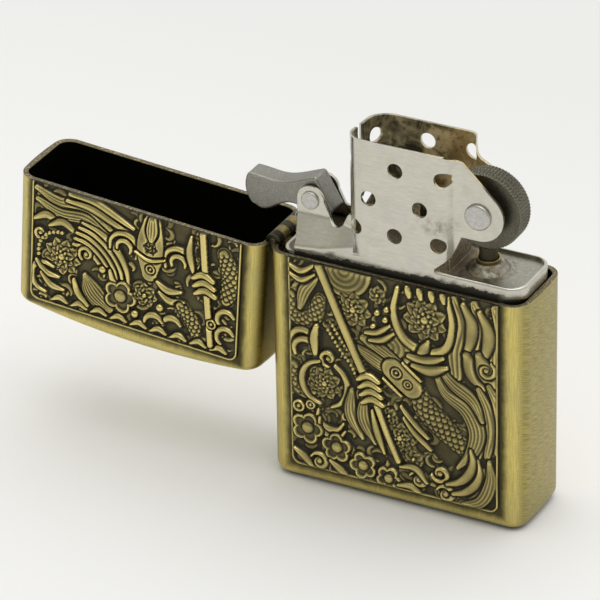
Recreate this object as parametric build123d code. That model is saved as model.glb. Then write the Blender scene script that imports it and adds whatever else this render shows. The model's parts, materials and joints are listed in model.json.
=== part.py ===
from build123d import *
import math
import os

# Windproof pocket lighter with a hinged lid, shown open. Millimetres.
# Origin: centre of the case's underside. +X away from the hinge, -Y the
# decorated front, +Z up. The lid is drawn closed and then swung open.

os.makedirs("parts", exist_ok=True)

# ---- Case and lid -------------------------------------------------------
CASE_WIDTH = 38.1
CASE_DEPTH = 12.7
CASE_HEIGHT = 34.4
LID_HEIGHT = 21.3
RIM_GAP = 0.06
WALL = 0.65
FLOOR = 0.7
SIDE_BOW = 0.45
CORNER_RADIUS = 2.5
UNDERSIDE_RADIUS = 1.8
LID_CROWN = 1.6
LID_EDGE_RADIUS = 1.2
LID_OPEN_DEG = 175.7
CAVITY_WIDTH = 36.4
CAVITY_DEPTH = CASE_DEPTH - 2 * WALL
CAVITY_RADIUS = 1.9
CAVITY_EDGE_RADIUS = 0.3

# ---- Hinge --------------------------------------------------------------
HINGE_X = -19.25
HINGE_Z = CASE_HEIGHT
BARREL_RADIUS = 1.1
PIN_RADIUS = 0.45
PIN_CLEARANCE = 0.03
PIN_OVERHANG = 0.1
KNUCKLE_COUNT = 5
KNUCKLE_LENGTH = 1.5
KNUCKLE_GAP = 0.05
LEAF_THICKNESS = 0.35
LEAF_HEIGHT = 8.0
LEAF_CLEARANCE = 0.25
NOTCH_CLEARANCE = 0.15
TAB_START_SHARE = 0.4

# ---- Relief plates ------------------------------------------------------
PLATE_BASE = 0.3
PLATE_TOP = 0.9
PLATE_BORDER = 0.55
PLATE_BORDER_HEIGHT = 0.6
PLATE_CORNER_RADIUS = 1.4
BODY_PLATE_WIDTH = 31.1
BODY_PLATE_BOTTOM = 2.6
LID_PLATE_WIDTH = 32.4
LID_PLATE_TOP = 53.0
STUD_RADIUS = 1.0
STUD_COUNT = 6
STUD_LEVEL = 0.34
STAFF_WIDTH = 1.0
STAFF_ANGLE = -50.0
STAFF_LEVEL = 0.12
STAFF_LENGTH_SHARE = 0.55

# ---- Insert sleeve, chimney and ears ------------------------------------
SHEET = 0.45
INSERT_WIDTH = 35.7
INSERT_CENTRE = 0.2
INSERT_DEPTH = 10.2
INSERT_RADIUS = 2.6
INSERT_BOTTOM = 0.75
INSERT_RIM = 36.3
INSERT_RIM_ROUNDING = 0.35
CHIMNEY_LEFT = -7.9
CHIMNEY_TOP = 52.95
CHIMNEY_TOP_TILT = -4.2
CHIMNEY_RIGHT = 6.6
CHIMNEY_RADIUS = 3.0
CHIMNEY_SEAM = 1.3
CHIMNEY_CORNER_RUN = 1.9
CHIMNEY_CORNER_DROP = 0.85
SEAM_Y = -0.7
SEAM_BOTTOM = 41.0
VENT_RADIUS = 1.1
VENTS_FRONT = ((49.9, (-0.2, 6.5)), (45.0, (-4.15, 3.35)), (40.25, (-0.35, 5.95)))
VENTS_BACK = ((49.9, (-0.2, 6.5)), (45.0, (-3.1, 4.3)), (40.25, (0.65, 6.1)))
VENT_TURNS_FRONT = ((49.9, 66.0), (40.3, 27.5))
VENT_TURNS_BACK = ((49.9, 66.0),)
WINDOW_RADIUS = 2.25
WINDOW_Z = 40.9
WINDOW_TURN = 97.0
BACK_SHOULDER = ((7.2, 51.3), (8.0, 50.3), (13.45, 47.4))
SHOULDER_DEG = 46.0
EAR_FOOT_X = 8.45
SHEAR_TOP = (7.4, 38.4)
SHEAR_BOTTOM = (5.45, 36.7)
SLEEVE_LEFT_TOP = 34.3
SLEEVE_LEFT_END = -6.5

# ---- Deck (top plate of the insert) -------------------------------------
DECK_THICKNESS = 0.4
DECK_TOP = 35.8
DECK_CORNER = ((-16.0, 4.15), (-13.5, 4.15), (-11.0, 4.7))
STEP_X = -15.3
STEP_TOP = 34.2
WEB_X = 6.4
WEB_TOP = 40.9
WEB_HALF_WIDTH = 3.2
WICK_X = -0.5
WICK_HOLE_RADIUS = 1.45
DIMPLE_RADIUS = 3.0
DIMPLE_TOP = 37.0
DIMPLE_LIP = 0.3
DIMPLE_SLOPE_CUT = 0.1
DIMPLE_INNER_CUT = 0.2

# ---- Wheel and flint ----------------------------------------------------
WHEEL_X = 10.9
WHEEL_Z = 44.8
WHEEL_RADIUS = 5.5
WHEEL_HALF_WIDTH = 1.5
WHEEL_TOOTH_DEPTH = 0.24
WHEEL_TEETH = 72
WHEEL_CHAMFER = 0.2
WHEEL_GROOVE = 0.2
WHEEL_GROOVES = (-0.5, 0.5)
HUB_RADIUS = 2.6
HUB_HALF_WIDTH = 2.55
AXLE_RADIUS = 0.9
RUNNING_GAP = 0.05
WHEEL_EAR_Y = 3.1
WHEEL_EAR_RADIUS = 3.6
WHEEL_EAR_START = 7.95
WHEEL_EAR_BEND = 6.7
BEND_RADIUS = 1.5
WHEEL_HEAD_RADIUS = 1.87
WHEEL_HEAD_HEIGHT = 0.5
HEAD_ROUNDING = 0.6
TUBE_RADIUS = 1.55
TUBE_BORE = 1.32
TUBE_BOTTOM = 2.45
TUBE_MOUTH = 37.5
TUBE_FLARE = 0.15
FLINT_RADIUS = 1.25
FLINT_BOTTOM = 34.35
FLINT_GAP = 0.05
TIP_BOTTOM = 32.05
TIP_STEM_RADIUS = 0.6
TIP_STEM_LENGTH = 1.5
SPRING_BOTTOM = 6.4
SPRING_PITCH = 1.35
SPRING_RADIUS = 0.95
SPRING_WIRE = 0.18
SCREW_HEAD_RADIUS = 2.1
SCREW_HEAD_HEIGHT = 1.0
SCREW_SHANK_RADIUS = 1.29
SCREW_SLOT = 0.55

# ---- Cam ----------------------------------------------------------------
CAM_X = -14.15
CAM_Z = 41.2
CAM_HALF_WIDTH = 1.65
CAM_TOP_LINE = ((0.4, 3.1), (-2.6, 1.9), (-5.2, 1.2), (-7.6, 1.35), (-9.85, 1.5))
CAM_THUMB_MIDDLE = (-10.3, -0.7)
CAM_THUMB_LOW = (-9.45, -2.9)
CAM_UNDER_LINE = ((-8.0, -3.5), (-6.5, -3.05), (-4.9, -2.1), (-3.4, -1.65), (-2.0, -2.0))
CAM_HEEL = ((1.5, -2.4), (3.05, -1.6))
CAM_EDGE_RADIUS = 0.25
CAM_CORNER_RADIUS = 0.5
CAM_BORE = 0.75
CAM_EAR_Y = 2.4
CAM_EAR_RADIUS = 2.0
CAM_EAR_BEND_Z = 39.2
CAM_EAR_SIDE_Z = 39.4
CAM_PANEL_CORNER_Z = 36.0
CAM_PANEL_LOW = 34.0
CAM_PANEL_RIGHT = -6.5
CAM_PANEL_TOP = 41.6
CAM_FLARE = (-7.9, 41.0)
CAM_PANEL_NOTCH = ((-8.8, 39.2), (-10.3, 38.6), (-11.3, 39.5))
CAM_BEND_RADIUS = 1.1
CAM_EAR_FAR = (-16.4, 35.2, CAM_EAR_BEND_Z, -2.4)
CAM_EAR_NEAR = (-11.2, 35.9, CAM_EAR_BEND_Z, -2.4)
CAM_PANEL_END = (-6.5, 37.0, 39.4, -4.25)
CAM_RIVET_RADIUS = 0.7
CAM_HEAD_RADIUS = 1.3
CAM_HEAD_HEIGHT = 0.35
CAM_SPRING_THICKNESS = 0.25
CAM_SPRING_HALF_WIDTH = 1.3
CAM_SPRING_RIVET_X = -9.6
CAM_SPRING_RIVET_RADIUS = 0.55
CAM_SPRING_RIVET_HEAD = 0.35
CAM_SPRING_LINE = ((-8.6, 0.0), (-15.6, 0.0), (-16.7, 1.0), (-17.2, 2.0), (-16.95, 2.6))

# ---- Wick, cotton and felt ----------------------------------------------
WICK_RADIUS = 1.3
WICK_TOP = 46.3
WICK_LOW_Z = 6.6
WICK_END_X = -13.5
WICK_BEND_RADIUS = 3.0
COTTON_DEPTH = 8.6
COTTON_ROUNDING = 1.6
FELT_BOTTOM = 1.1
FELT_TOP = 3.9
FELT_CLEARANCE = 0.1
COTTON_LEFT_SIDE = -16.6
COTTON_UPPER = (-2.1, 21.6, 33.6)
COTTON_LOWER = (-4.6, 8.3, 21.4)
COTTON_FLOOR = 4.4
COTTON_CEILING = 35.3
COTTON_MIDDLE = (1.2, 8.9)
COTTON_RIGHT = (13.1, 16.8)

HALF_WIDTH = CASE_WIDTH / 2
HALF_DEPTH = CASE_DEPTH / 2
INSERT_HALF_DEPTH = INSERT_DEPTH / 2
LID_BOTTOM = CASE_HEIGHT + RIM_GAP
LID_TOP = CASE_HEIGHT + LID_HEIGHT
SPAN = 60.0
OVERCUT = 1.0
TOLERANCE = 0.01


def rounded_slab(width, depth, radius, bottom, top):
    """Upright block with rounded vertical corners between two heights."""
    outline = Pos(0, 0, bottom) * RectangleRounded(width, depth, radius)
    return extrude(outline, top - bottom)


def insert_slab(inset, bottom, top):
    """Block with the insert's plan, pulled in on all sides."""
    width = INSERT_WIDTH - 2 * inset
    depth = INSERT_DEPTH - 2 * inset
    return Pos(INSERT_CENTRE, 0, 0) * rounded_slab(width, depth, INSERT_RADIUS - inset, bottom, top)


def upright_rod(radius, x, bottom, top):
    """Vertical cylinder on the X axis line."""
    return Pos(x, 0, bottom) * Cylinder(radius, top - bottom, align=(Align.CENTER, Align.CENTER, Align.MIN))


def cross_rod(radius, x, z, start, end):
    """Cylinder along Y from start to end."""
    middle = (start + end) / 2
    return Pos(x, middle, z) * Rot(90, 0, 0) * Cylinder(radius, end - start)


def box_between(low, high):
    """Axis-aligned box from its lowest to its highest corner."""
    size = [b - a for a, b in zip(low, high)]
    centre = [(a + b) / 2 for a, b in zip(low, high)]
    return Pos(*centre) * Box(*size)


def front_prism(points, start, end):
    """Polygon drawn in the XZ plane, extruded along Y from start to end."""
    outline = make_face(Polyline(*points, close=True))
    return Pos(0, end, 0) * extrude(Plane.XZ * outline, end - start)


def face_from(*lines):
    """Flat face bounded by lines and arcs that meet end to end."""
    return make_face(Wire([edge for line in lines for edge in line.edges()]))


def case_outline():
    """Plan of the case: straight long sides, slightly bowed short sides."""
    corner = HALF_WIDTH - SIDE_BOW
    front = Line((-corner, -HALF_DEPTH), (corner, -HALF_DEPTH))
    right = ThreePointArc((corner, -HALF_DEPTH), (HALF_WIDTH, 0), (corner, HALF_DEPTH))
    back = Line((corner, HALF_DEPTH), (-corner, HALF_DEPTH))
    left = ThreePointArc((-corner, HALF_DEPTH), (-HALF_WIDTH, 0), (-corner, -HALF_DEPTH))
    outline = face_from(front, right, back, left)
    return fillet(outline.vertices(), CORNER_RADIUS)


def hinge_notch():
    """Space round the barrel that both walls are cut away for."""
    reach = BARREL_RADIUS + NOTCH_CLEARANCE
    half_length = KNUCKLE_COUNT * KNUCKLE_LENGTH / 2 + PIN_OVERHANG + NOTCH_CLEARANCE
    low = (HINGE_X - reach, -half_length, HINGE_Z - reach)
    high = (-CAVITY_WIDTH / 2 + NOTCH_CLEARANCE, half_length, HINGE_Z + reach)
    return box_between(low, high)


def open_lid(shape):
    """Swing a shape drawn on the closed lid to the open rest position."""
    return Pos(HINGE_X, 0, HINGE_Z) * Rot(0, -LID_OPEN_DEG, 0) * Pos(-HINGE_X, 0, -HINGE_Z) * shape


def case_body():
    shell = extrude(case_outline(), CASE_HEIGHT)
    shell = fillet(shell.edges().group_by(Axis.Z)[0], UNDERSIDE_RADIUS)
    cavity = rounded_slab(CAVITY_WIDTH, CAVITY_DEPTH, CAVITY_RADIUS, FLOOR, CASE_HEIGHT + OVERCUT)
    cavity = fillet(cavity.edges().group_by(Axis.Z)[0], CAVITY_EDGE_RADIUS)
    return shell - cavity - hinge_notch()


def crowned_block(half_width, top, crown):
    """Block from below the lid's rim to a top that curves along X."""
    side = top - crown
    arc = ThreePointArc((half_width, side), (0, top), (-half_width, side))
    base = LID_BOTTOM - OVERCUT
    walls = Polyline((-half_width, side), (-half_width, base), (half_width, base), (half_width, side))
    return extrude(Plane.XZ * face_from(arc, walls), CASE_DEPTH, both=True)


def case_lid():
    outer = Pos(0, 0, LID_BOTTOM) * extrude(case_outline(), LID_HEIGHT + OVERCUT)
    outer = outer & crowned_block(HALF_WIDTH + OVERCUT / 2, LID_TOP, LID_CROWN)
    rim = outer.faces().sort_by(Axis.Z)[0].edges()
    upper = [e for e in outer.edges() if e.center().Z > LID_TOP - 2 * LID_CROWN and e not in rim]
    outer = fillet(upper, LID_EDGE_RADIUS)
    inner = rounded_slab(CAVITY_WIDTH, CAVITY_DEPTH, CAVITY_RADIUS, LID_BOTTOM - OVERCUT, LID_TOP)
    inner = inner & crowned_block(HALF_WIDTH + OVERCUT / 2, LID_TOP - WALL, LID_CROWN)
    ceiling = [e for e in inner.edges() if e.center().Z > LID_TOP - WALL - 2 * LID_CROWN]
    inner = fillet(ceiling, CAVITY_EDGE_RADIUS)
    return outer - inner - hinge_notch()


def relief_plate(width, bottom, top, open_side):
    """Applied plate on the front: base sheet, raised border, studs and staff."""
    middle = (bottom + top) / 2
    height = top - bottom
    blank = RectangleRounded(width, height, PLATE_CORNER_RADIUS)
    square = Rectangle(width, height / 2)
    square_side = 1 if open_side == "top" else -1
    blank = blank + Pos(0, square_side * height / 4) * square
    field = offset(blank, -PLATE_BORDER, kind=Kind.INTERSECTION)
    face_plane = Plane.XZ.offset(HALF_DEPTH)
    plate = extrude(face_plane * Pos(0, middle) * blank, PLATE_BORDER_HEIGHT)
    pocket = extrude(face_plane.offset(PLATE_BASE) * Pos(0, middle) * field, PLATE_TOP)
    plate = plate - pocket
    spacing = (width - 4 * PLATE_BORDER) / STUD_COUNT
    stud_z = middle - square_side * height * STUD_LEVEL
    for index in range(STUD_COUNT):
        stud_x = (index - (STUD_COUNT - 1) / 2) * spacing
        stud = extrude(face_plane * Pos(stud_x, stud_z) * Circle(STUD_RADIUS), PLATE_TOP)
        plate = plate + stud
    staff = Rot(0, 0, STAFF_ANGLE) * SlotOverall(height * STAFF_LENGTH_SHARE, STAFF_WIDTH)
    staff = Pos(0, middle + square_side * height * STAFF_LEVEL) * staff
    return plate + extrude(face_plane * staff, PLATE_TOP)


def hinge_leaf(side, owned):
    """Leaf plate with its knuckles. Side is -1 for the case and +1 for the lid."""
    plate_left = -CAVITY_WIDTH / 2
    plate_right = plate_left + LEAF_THICKNESS
    total = KNUCKLE_COUNT * KNUCKLE_LENGTH
    root = BARREL_RADIUS + LEAF_CLEARANCE
    heights = sorted((HINGE_Z + side * root, HINGE_Z + side * LEAF_HEIGHT))
    leaf = box_between((plate_left, -total / 2, heights[0]), (plate_right, total / 2, heights[1]))
    bore = PIN_RADIUS if side < 0 else PIN_RADIUS + PIN_CLEARANCE
    tab_start = HINGE_Z + side * BARREL_RADIUS * TAB_START_SHARE
    tab_heights = sorted((tab_start, HINGE_Z + side * root))
    strap_heights = sorted((tab_start, HINGE_Z + side * BARREL_RADIUS))
    for index in owned:
        start = -total / 2 + index * KNUCKLE_LENGTH + KNUCKLE_GAP / 2
        end = start + KNUCKLE_LENGTH - KNUCKLE_GAP
        leaf = leaf + cross_rod(BARREL_RADIUS, HINGE_X, HINGE_Z, start, end)
        leaf = leaf + box_between((plate_left, start, tab_heights[0]), (plate_right, end, tab_heights[1]))
        leaf = leaf + box_between((HINGE_X, start, strap_heights[0]), (plate_right, end, strap_heights[1]))
    return leaf - cross_rod(bore, HINGE_X, HINGE_Z, -total, total)


def hinge_pin():
    reach = KNUCKLE_COUNT * KNUCKLE_LENGTH / 2 + PIN_OVERHANG
    return cross_rod(PIN_RADIUS, HINGE_X, HINGE_Z, -reach, reach)


def chimney_plan(inset):
    """Plan of the windscreen: round left end, walls that close in on the wheel."""
    half = INSERT_HALF_DEPTH - inset
    ear = WHEEL_EAR_Y - inset
    left = CHIMNEY_LEFT + inset
    right = WHEEL_X + WHEEL_EAR_RADIUS + OVERCUT
    points = [(right, -ear), (WHEEL_EAR_START, -ear), (WHEEL_EAR_BEND, -half), (left, -half)]
    points = points + [(x, -y) for x, y in reversed(points)]
    outline = make_face(Polyline(*points, close=True))
    ends = [v for v in outline.vertices() if abs(v.X - left) < TOLERANCE]
    outline = fillet(ends, CHIMNEY_RADIUS - inset)
    first_bend = WHEEL_EAR_BEND - TOLERANCE
    bends = [v for v in outline.vertices() if first_bend < v.X < right - TOLERANCE]
    return fillet(bends, BEND_RADIUS)


def chimney_profile():
    """Front view of the windscreen and the wheel ears."""
    start = math.radians(SHOULDER_DEG)
    shoulder_x = WHEEL_X + WHEEL_EAR_RADIUS * math.cos(start)
    shoulder_z = WHEEL_Z + WHEEL_EAR_RADIUS * math.sin(start)
    low_z = WHEEL_Z - WHEEL_EAR_RADIUS
    sweep_deg = -90 - SHOULDER_DEG
    arc = CenterArc((WHEEL_X, WHEEL_Z), WHEEL_EAR_RADIUS, SHOULDER_DEG, sweep_deg)
    left = CHIMNEY_LEFT - OVERCUT
    outer = Polyline(
        (WHEEL_X, low_z),
        (EAR_FOOT_X, low_z),
        SHEAR_TOP,
        SHEAR_BOTTOM,
        (SHEAR_BOTTOM[0], DECK_TOP),
        (left, DECK_TOP),
        (left, CHIMNEY_TOP + OVERCUT),
        (CHIMNEY_RIGHT, CHIMNEY_TOP + OVERCUT),
        (CHIMNEY_RIGHT, CHIMNEY_TOP),
        (CHIMNEY_RIGHT + CHIMNEY_CORNER_RUN, CHIMNEY_TOP - CHIMNEY_CORNER_DROP),
        (shoulder_x, shoulder_z),
    )
    return extrude(Plane.XZ * face_from(arc, outer), INSERT_DEPTH, both=True)


def vent_cutters():
    """The vents of both faces and round the end, and the wider window beside the cam."""
    cutters = []
    bend_x = CHIMNEY_LEFT + CHIMNEY_RADIUS
    hole = Pos(CHIMNEY_RADIUS, 0, 0) * Rot(0, 90, 0) * Cylinder(VENT_RADIUS, CHIMNEY_RADIUS)
    for side, rows, turns in ((-1, VENTS_FRONT, VENT_TURNS_FRONT), (1, VENTS_BACK, VENT_TURNS_BACK)):
        start, end = sorted((0, side * INSERT_DEPTH))
        for height, places in rows:
            for place in places:
                cutters.append(cross_rod(VENT_RADIUS, place, height, start, end))
        bend_y = side * (INSERT_HALF_DEPTH - CHIMNEY_RADIUS)
        for height, turn in turns:
            direction = side * (90 + turn)
            cutters.append(Pos(bend_x, bend_y, height) * Rot(0, 0, direction) * hole)
    window = Pos(CHIMNEY_RADIUS, 0, 0) * Rot(0, 90, 0) * Cylinder(WINDOW_RADIUS, CHIMNEY_RADIUS)
    window_y = INSERT_HALF_DEPTH - CHIMNEY_RADIUS
    cutters.append(Pos(bend_x, window_y, WINDOW_Z) * Rot(0, 0, 90 + WINDOW_TURN) * window)
    return cutters


def back_shoulder_cut():
    """Clears the back wall above its lower, steeper shoulder."""
    first_x = BACK_SHOULDER[0][0]
    last_x = BACK_SHOULDER[-1][0]
    top = CHIMNEY_TOP + OVERCUT
    outline = make_face(Polyline(*BACK_SHOULDER, (last_x, top), (first_x, top), close=True))
    return extrude(Plane.XZ * outline, -INSERT_DEPTH)


def cam_ear_profile():
    """Front view of a cam ear and the panel that it rises from."""
    left = CAM_X - CAM_EAR_RADIUS
    right = CAM_X + CAM_EAR_RADIUS
    top = ThreePointArc((right, CAM_Z), (CAM_X, CAM_Z + CAM_EAR_RADIUS), (left, CAM_Z))
    notch_start, notch_middle, notch_end = CAM_PANEL_NOTCH
    sides = Polyline(
        (left, CAM_Z),
        (left, CAM_EAR_SIDE_Z),
        (STEP_X, CAM_PANEL_CORNER_Z),
        (STEP_X, CAM_PANEL_LOW),
        (CAM_PANEL_RIGHT, CAM_PANEL_LOW),
        (CAM_PANEL_RIGHT, CAM_PANEL_TOP),
        CAM_FLARE,
        notch_start,
    )
    notch = ThreePointArc(notch_start, notch_middle, notch_end)
    flank = Line(notch_end, (right, CAM_Z))
    return face_from(top, sides, notch, flank)


def ear_section(place, bend_low, bend_high, inset_y):
    """Section of the front cam panel: upright, leaning inwards, then upright again."""
    half = INSERT_HALF_DEPTH
    top = CAM_Z + CAM_EAR_RADIUS + OVERCUT
    outer = [(-half, CAM_PANEL_LOW), (-half, bend_low), (inset_y, bend_high), (inset_y, top)]
    inner = [(y + SHEET, z) for y, z in reversed(outer)]
    section = make_face(Polyline(*outer, *inner, close=True))
    bends = [v for v in section.vertices() if CAM_PANEL_LOW + TOLERANCE < v.Y < top - TOLERANCE]
    section = fillet(bends, CAM_BEND_RADIUS)
    return Plane.YZ.offset(place) * section


def cam_ears():
    """Pair of ears that bend inwards from the sleeve to hold the cam."""
    far = ear_section(*CAM_EAR_FAR)
    near = ear_section(*CAM_EAR_NEAR)
    end = ear_section(*CAM_PANEL_END)
    front = loft([far, near], ruled=True) + loft([near, end], ruled=True)
    pair = front + mirror(front, Plane.XZ)
    return pair & extrude(Plane.XZ * cam_ear_profile(), INSERT_DEPTH, both=True)


def insert_shell():
    outer = insert_slab(0, INSERT_BOTTOM, INSERT_RIM)
    outer = fillet(outer.edges().group_by(Axis.Z)[-1], INSERT_RIM_ROUNDING)
    sleeve = outer - insert_slab(SHEET, 0, SPAN)
    sleeve = sleeve - box_between((-SPAN, -SPAN, STEP_TOP), (STEP_X, SPAN, SPAN))
    sleeve = sleeve - box_between((-SPAN, -SPAN, SLEEVE_LEFT_TOP), (SLEEVE_LEFT_END, SPAN, SPAN))
    screen = chimney_plan(0) - chimney_plan(SHEET)
    screen = Pos(0, 0, DECK_TOP) * extrude(screen, CHIMNEY_TOP + OVERCUT - DECK_TOP)
    screen = screen & chimney_profile()
    above = box_between((-SPAN, -SPAN, 0), (SPAN, SPAN, SPAN))
    screen = screen - Pos(0, 0, CHIMNEY_TOP) * Rot(CHIMNEY_TOP_TILT, 0, 0) * above
    seam_low = (CHIMNEY_LEFT - OVERCUT, SEAM_Y - CHIMNEY_SEAM / 2, SEAM_BOTTOM)
    seam_high = (CHIMNEY_LEFT + OVERCUT, SEAM_Y + CHIMNEY_SEAM / 2, SPAN)
    screen = screen - box_between(seam_low, seam_high)
    screen = screen - back_shoulder_cut()
    for cutter in vent_cutters():
        screen = screen - cutter
    shell = sleeve + screen + cam_ears()
    shell = shell - cross_rod(AXLE_RADIUS, WHEEL_X, WHEEL_Z, -INSERT_DEPTH, INSERT_DEPTH)
    shell = shell - cross_rod(CAM_RIVET_RADIUS, CAM_X, CAM_Z, -INSERT_DEPTH, INSERT_DEPTH)
    return shell


def deck_dimple():
    """Raised cone that stiffens the deck round the flint tube."""
    lip = TUBE_RADIUS + DIMPLE_LIP
    bottom = DECK_TOP - DECK_THICKNESS
    profile = [
        (TUBE_RADIUS, DIMPLE_TOP - DECK_THICKNESS),
        (lip, DIMPLE_TOP - DECK_THICKNESS),
        (DIMPLE_RADIUS - DIMPLE_INNER_CUT, bottom),
        (DIMPLE_RADIUS + DIMPLE_LIP, bottom),
        (DIMPLE_RADIUS + DIMPLE_LIP, DECK_TOP),
        (DIMPLE_RADIUS, DECK_TOP),
        (lip + DIMPLE_SLOPE_CUT, DIMPLE_TOP),
        (TUBE_RADIUS, DIMPLE_TOP),
    ]
    ring = revolve(Plane.XZ * make_face(Polyline(*profile, close=True)), Axis.Z)
    return Pos(WHEEL_X, 0, 0) * ring


def insert_deck():
    low = DECK_TOP - DECK_THICKNESS
    step_low = STEP_TOP - DECK_THICKNESS
    riser = STEP_X + DECK_THICKNESS
    profile = [
        (-INSERT_WIDTH, step_low),
        (riser, step_low),
        (riser, low),
        (INSERT_WIDTH, low),
        (INSERT_WIDTH, DECK_TOP),
        (STEP_X, DECK_TOP),
        (STEP_X, STEP_TOP),
        (-INSERT_WIDTH, STEP_TOP),
    ]
    plate = front_prism(profile, -INSERT_DEPTH, INSERT_DEPTH) & insert_slab(SHEET, 0, SPAN)
    reach = [(DECK_CORNER[0][0], INSERT_DEPTH), *DECK_CORNER, (DECK_CORNER[-1][0], INSERT_DEPTH)]
    corner = extrude(Pos(0, 0, low) * make_face(Polyline(*reach, close=True)), SPAN)
    plate = plate - corner - mirror(corner, Plane.XZ)
    plate = plate - upright_rod(DIMPLE_RADIUS, WHEEL_X, 0, SPAN) + deck_dimple()
    web_low = (WEB_X, -WEB_HALF_WIDTH, low)
    web_high = (WEB_X + DECK_THICKNESS, WEB_HALF_WIDTH, WEB_TOP)
    plate = plate + box_between(web_low, web_high)
    plate = plate - upright_rod(WICK_HOLE_RADIUS, WICK_X, 0, SPAN)
    return plate - upright_rod(CAM_SPRING_RIVET_RADIUS, CAM_SPRING_RIVET_X, 0, SPAN)


def cam_outline():
    """Front view of the cam: thumb lobe, dished waist and square heel."""
    top = Spline(*CAM_TOP_LINE)
    end = ThreePointArc(CAM_TOP_LINE[-1], CAM_THUMB_MIDDLE, CAM_THUMB_LOW)
    lobe = Line(CAM_THUMB_LOW, CAM_UNDER_LINE[0])
    under = Spline(*CAM_UNDER_LINE)
    belly = Polyline(CAM_UNDER_LINE[-1], *CAM_HEEL, CAM_TOP_LINE[0])
    outline = face_from(top, end, lobe, under, belly)
    return fillet(outline.vertices(), CAM_CORNER_RADIUS)


def cam_lever():
    blank = extrude(Plane.XZ * cam_outline(), CAM_HALF_WIDTH, both=True)
    faces = [f for f in blank.faces() if abs(f.normal_at().Y) > 1 - TOLERANCE]
    edges = [e for f in faces for e in f.edges()]
    blank = chamfer(edges, CAM_EDGE_RADIUS)
    lever = Pos(CAM_X, 0, CAM_Z) * blank
    return lever - cross_rod(CAM_BORE, CAM_X, CAM_Z, -INSERT_DEPTH, INSERT_DEPTH)


def through_rivet(radius, head_radius, head_height, x, z, ear_y):
    """Rivet through a pair of ears, with a rounded head on each side."""
    rivet = cross_rod(radius, x, z, -ear_y, ear_y)
    head = Cylinder(head_radius, head_height, align=(Align.CENTER, Align.CENTER, Align.MIN))
    head = fillet(head.edges().group_by(Axis.Z)[-1], head_height * HEAD_ROUNDING)
    front = Pos(x, -ear_y, z) * Rot(90, 0, 0) * head
    back = Pos(x, ear_y, z) * Rot(-90, 0, 0) * head
    return rivet + front + back


def cam_spring():
    """Leaf spring that lies on the deck and turns up under the cam."""
    line = Polyline(*[(x, DECK_TOP + rise) for x, rise in CAM_SPRING_LINE])
    strip = offset(line, CAM_SPRING_THICKNESS, side=Side.RIGHT, closed=True)
    profile = make_face(strip)
    leaf = extrude(Plane.XZ * profile, CAM_SPRING_HALF_WIDTH, both=True)
    return leaf - upright_rod(CAM_SPRING_RIVET_RADIUS, CAM_SPRING_RIVET_X, 0, SPAN)


def cam_spring_rivet():
    head = CAM_SPRING_RIVET_HEAD
    underside = DECK_TOP - DECK_THICKNESS
    top = DECK_TOP + CAM_SPRING_THICKNESS
    rivet = upright_rod(CAM_SPRING_RIVET_RADIUS, CAM_SPRING_RIVET_X, underside - head, top + head)
    rivet = rivet + upright_rod(2 * CAM_SPRING_RIVET_RADIUS, CAM_SPRING_RIVET_X, top, top + head)
    return rivet + upright_rod(2 * CAM_SPRING_RIVET_RADIUS, CAM_SPRING_RIVET_X, underside - head, underside)


def flint_wheel():
    """Hardened wheel with teeth across its tread and a plain hub."""
    points = []
    for index in range(2 * WHEEL_TEETH):
        angle = math.pi * index / WHEEL_TEETH
        radius = WHEEL_RADIUS - WHEEL_TOOTH_DEPTH * (index % 2)
        points.append((radius * math.cos(angle), radius * math.sin(angle)))
    tread = extrude(Plane.XZ * make_face(Polyline(*points, close=True)), WHEEL_HALF_WIDTH, both=True)
    envelope = Rot(90, 0, 0) * Cylinder(WHEEL_RADIUS, 2 * WHEEL_HALF_WIDTH)
    envelope = chamfer(envelope.edges().filter_by(GeomType.CIRCLE), WHEEL_CHAMFER)
    tread = tread & envelope
    for place in WHEEL_GROOVES:
        ring = Rot(90, 0, 0) * Cylinder(WHEEL_RADIUS + OVERCUT, WHEEL_GROOVE)
        ring = ring - Rot(90, 0, 0) * Cylinder(WHEEL_RADIUS - WHEEL_TOOTH_DEPTH, WHEEL_GROOVE)
        tread = tread - Pos(0, place, 0) * ring
    wheel = tread + Rot(90, 0, 0) * Cylinder(HUB_RADIUS, 2 * HUB_HALF_WIDTH)
    wheel = wheel - Rot(90, 0, 0) * Cylinder(AXLE_RADIUS + RUNNING_GAP, INSERT_DEPTH)
    return Pos(WHEEL_X, 0, WHEEL_Z) * wheel


def flint_tube():
    """Brass guide tube with a flared mouth."""
    bore = TUBE_BORE
    profile = [
        (bore, TUBE_BOTTOM),
        (TUBE_RADIUS, TUBE_BOTTOM),
        (TUBE_RADIUS, DIMPLE_TOP),
        (TUBE_RADIUS + TUBE_FLARE, DIMPLE_TOP + DIMPLE_LIP),
        (TUBE_RADIUS + TUBE_FLARE, TUBE_MOUTH),
        (bore + TUBE_FLARE, TUBE_MOUTH),
        (bore, TUBE_MOUTH - TUBE_FLARE),
    ]
    tube = revolve(Plane.XZ * make_face(Polyline(*profile, close=True)), Axis.Z)
    return Pos(WHEEL_X, 0, 0) * tube


def flint():
    """Ferrocerium rod, worn to the curve of the wheel."""
    rod = upright_rod(FLINT_RADIUS, WHEEL_X, FLINT_BOTTOM, WHEEL_Z - WHEEL_RADIUS + OVERCUT / 2)
    return rod - cross_rod(WHEEL_RADIUS + FLINT_GAP, WHEEL_X, WHEEL_Z, -INSERT_DEPTH, INSERT_DEPTH)


def spring_tip():
    tip = upright_rod(FLINT_RADIUS, WHEEL_X, TIP_BOTTOM, FLINT_BOTTOM)
    return tip + upright_rod(TIP_STEM_RADIUS, WHEEL_X, TIP_BOTTOM - TIP_STEM_LENGTH, TIP_BOTTOM)


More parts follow.
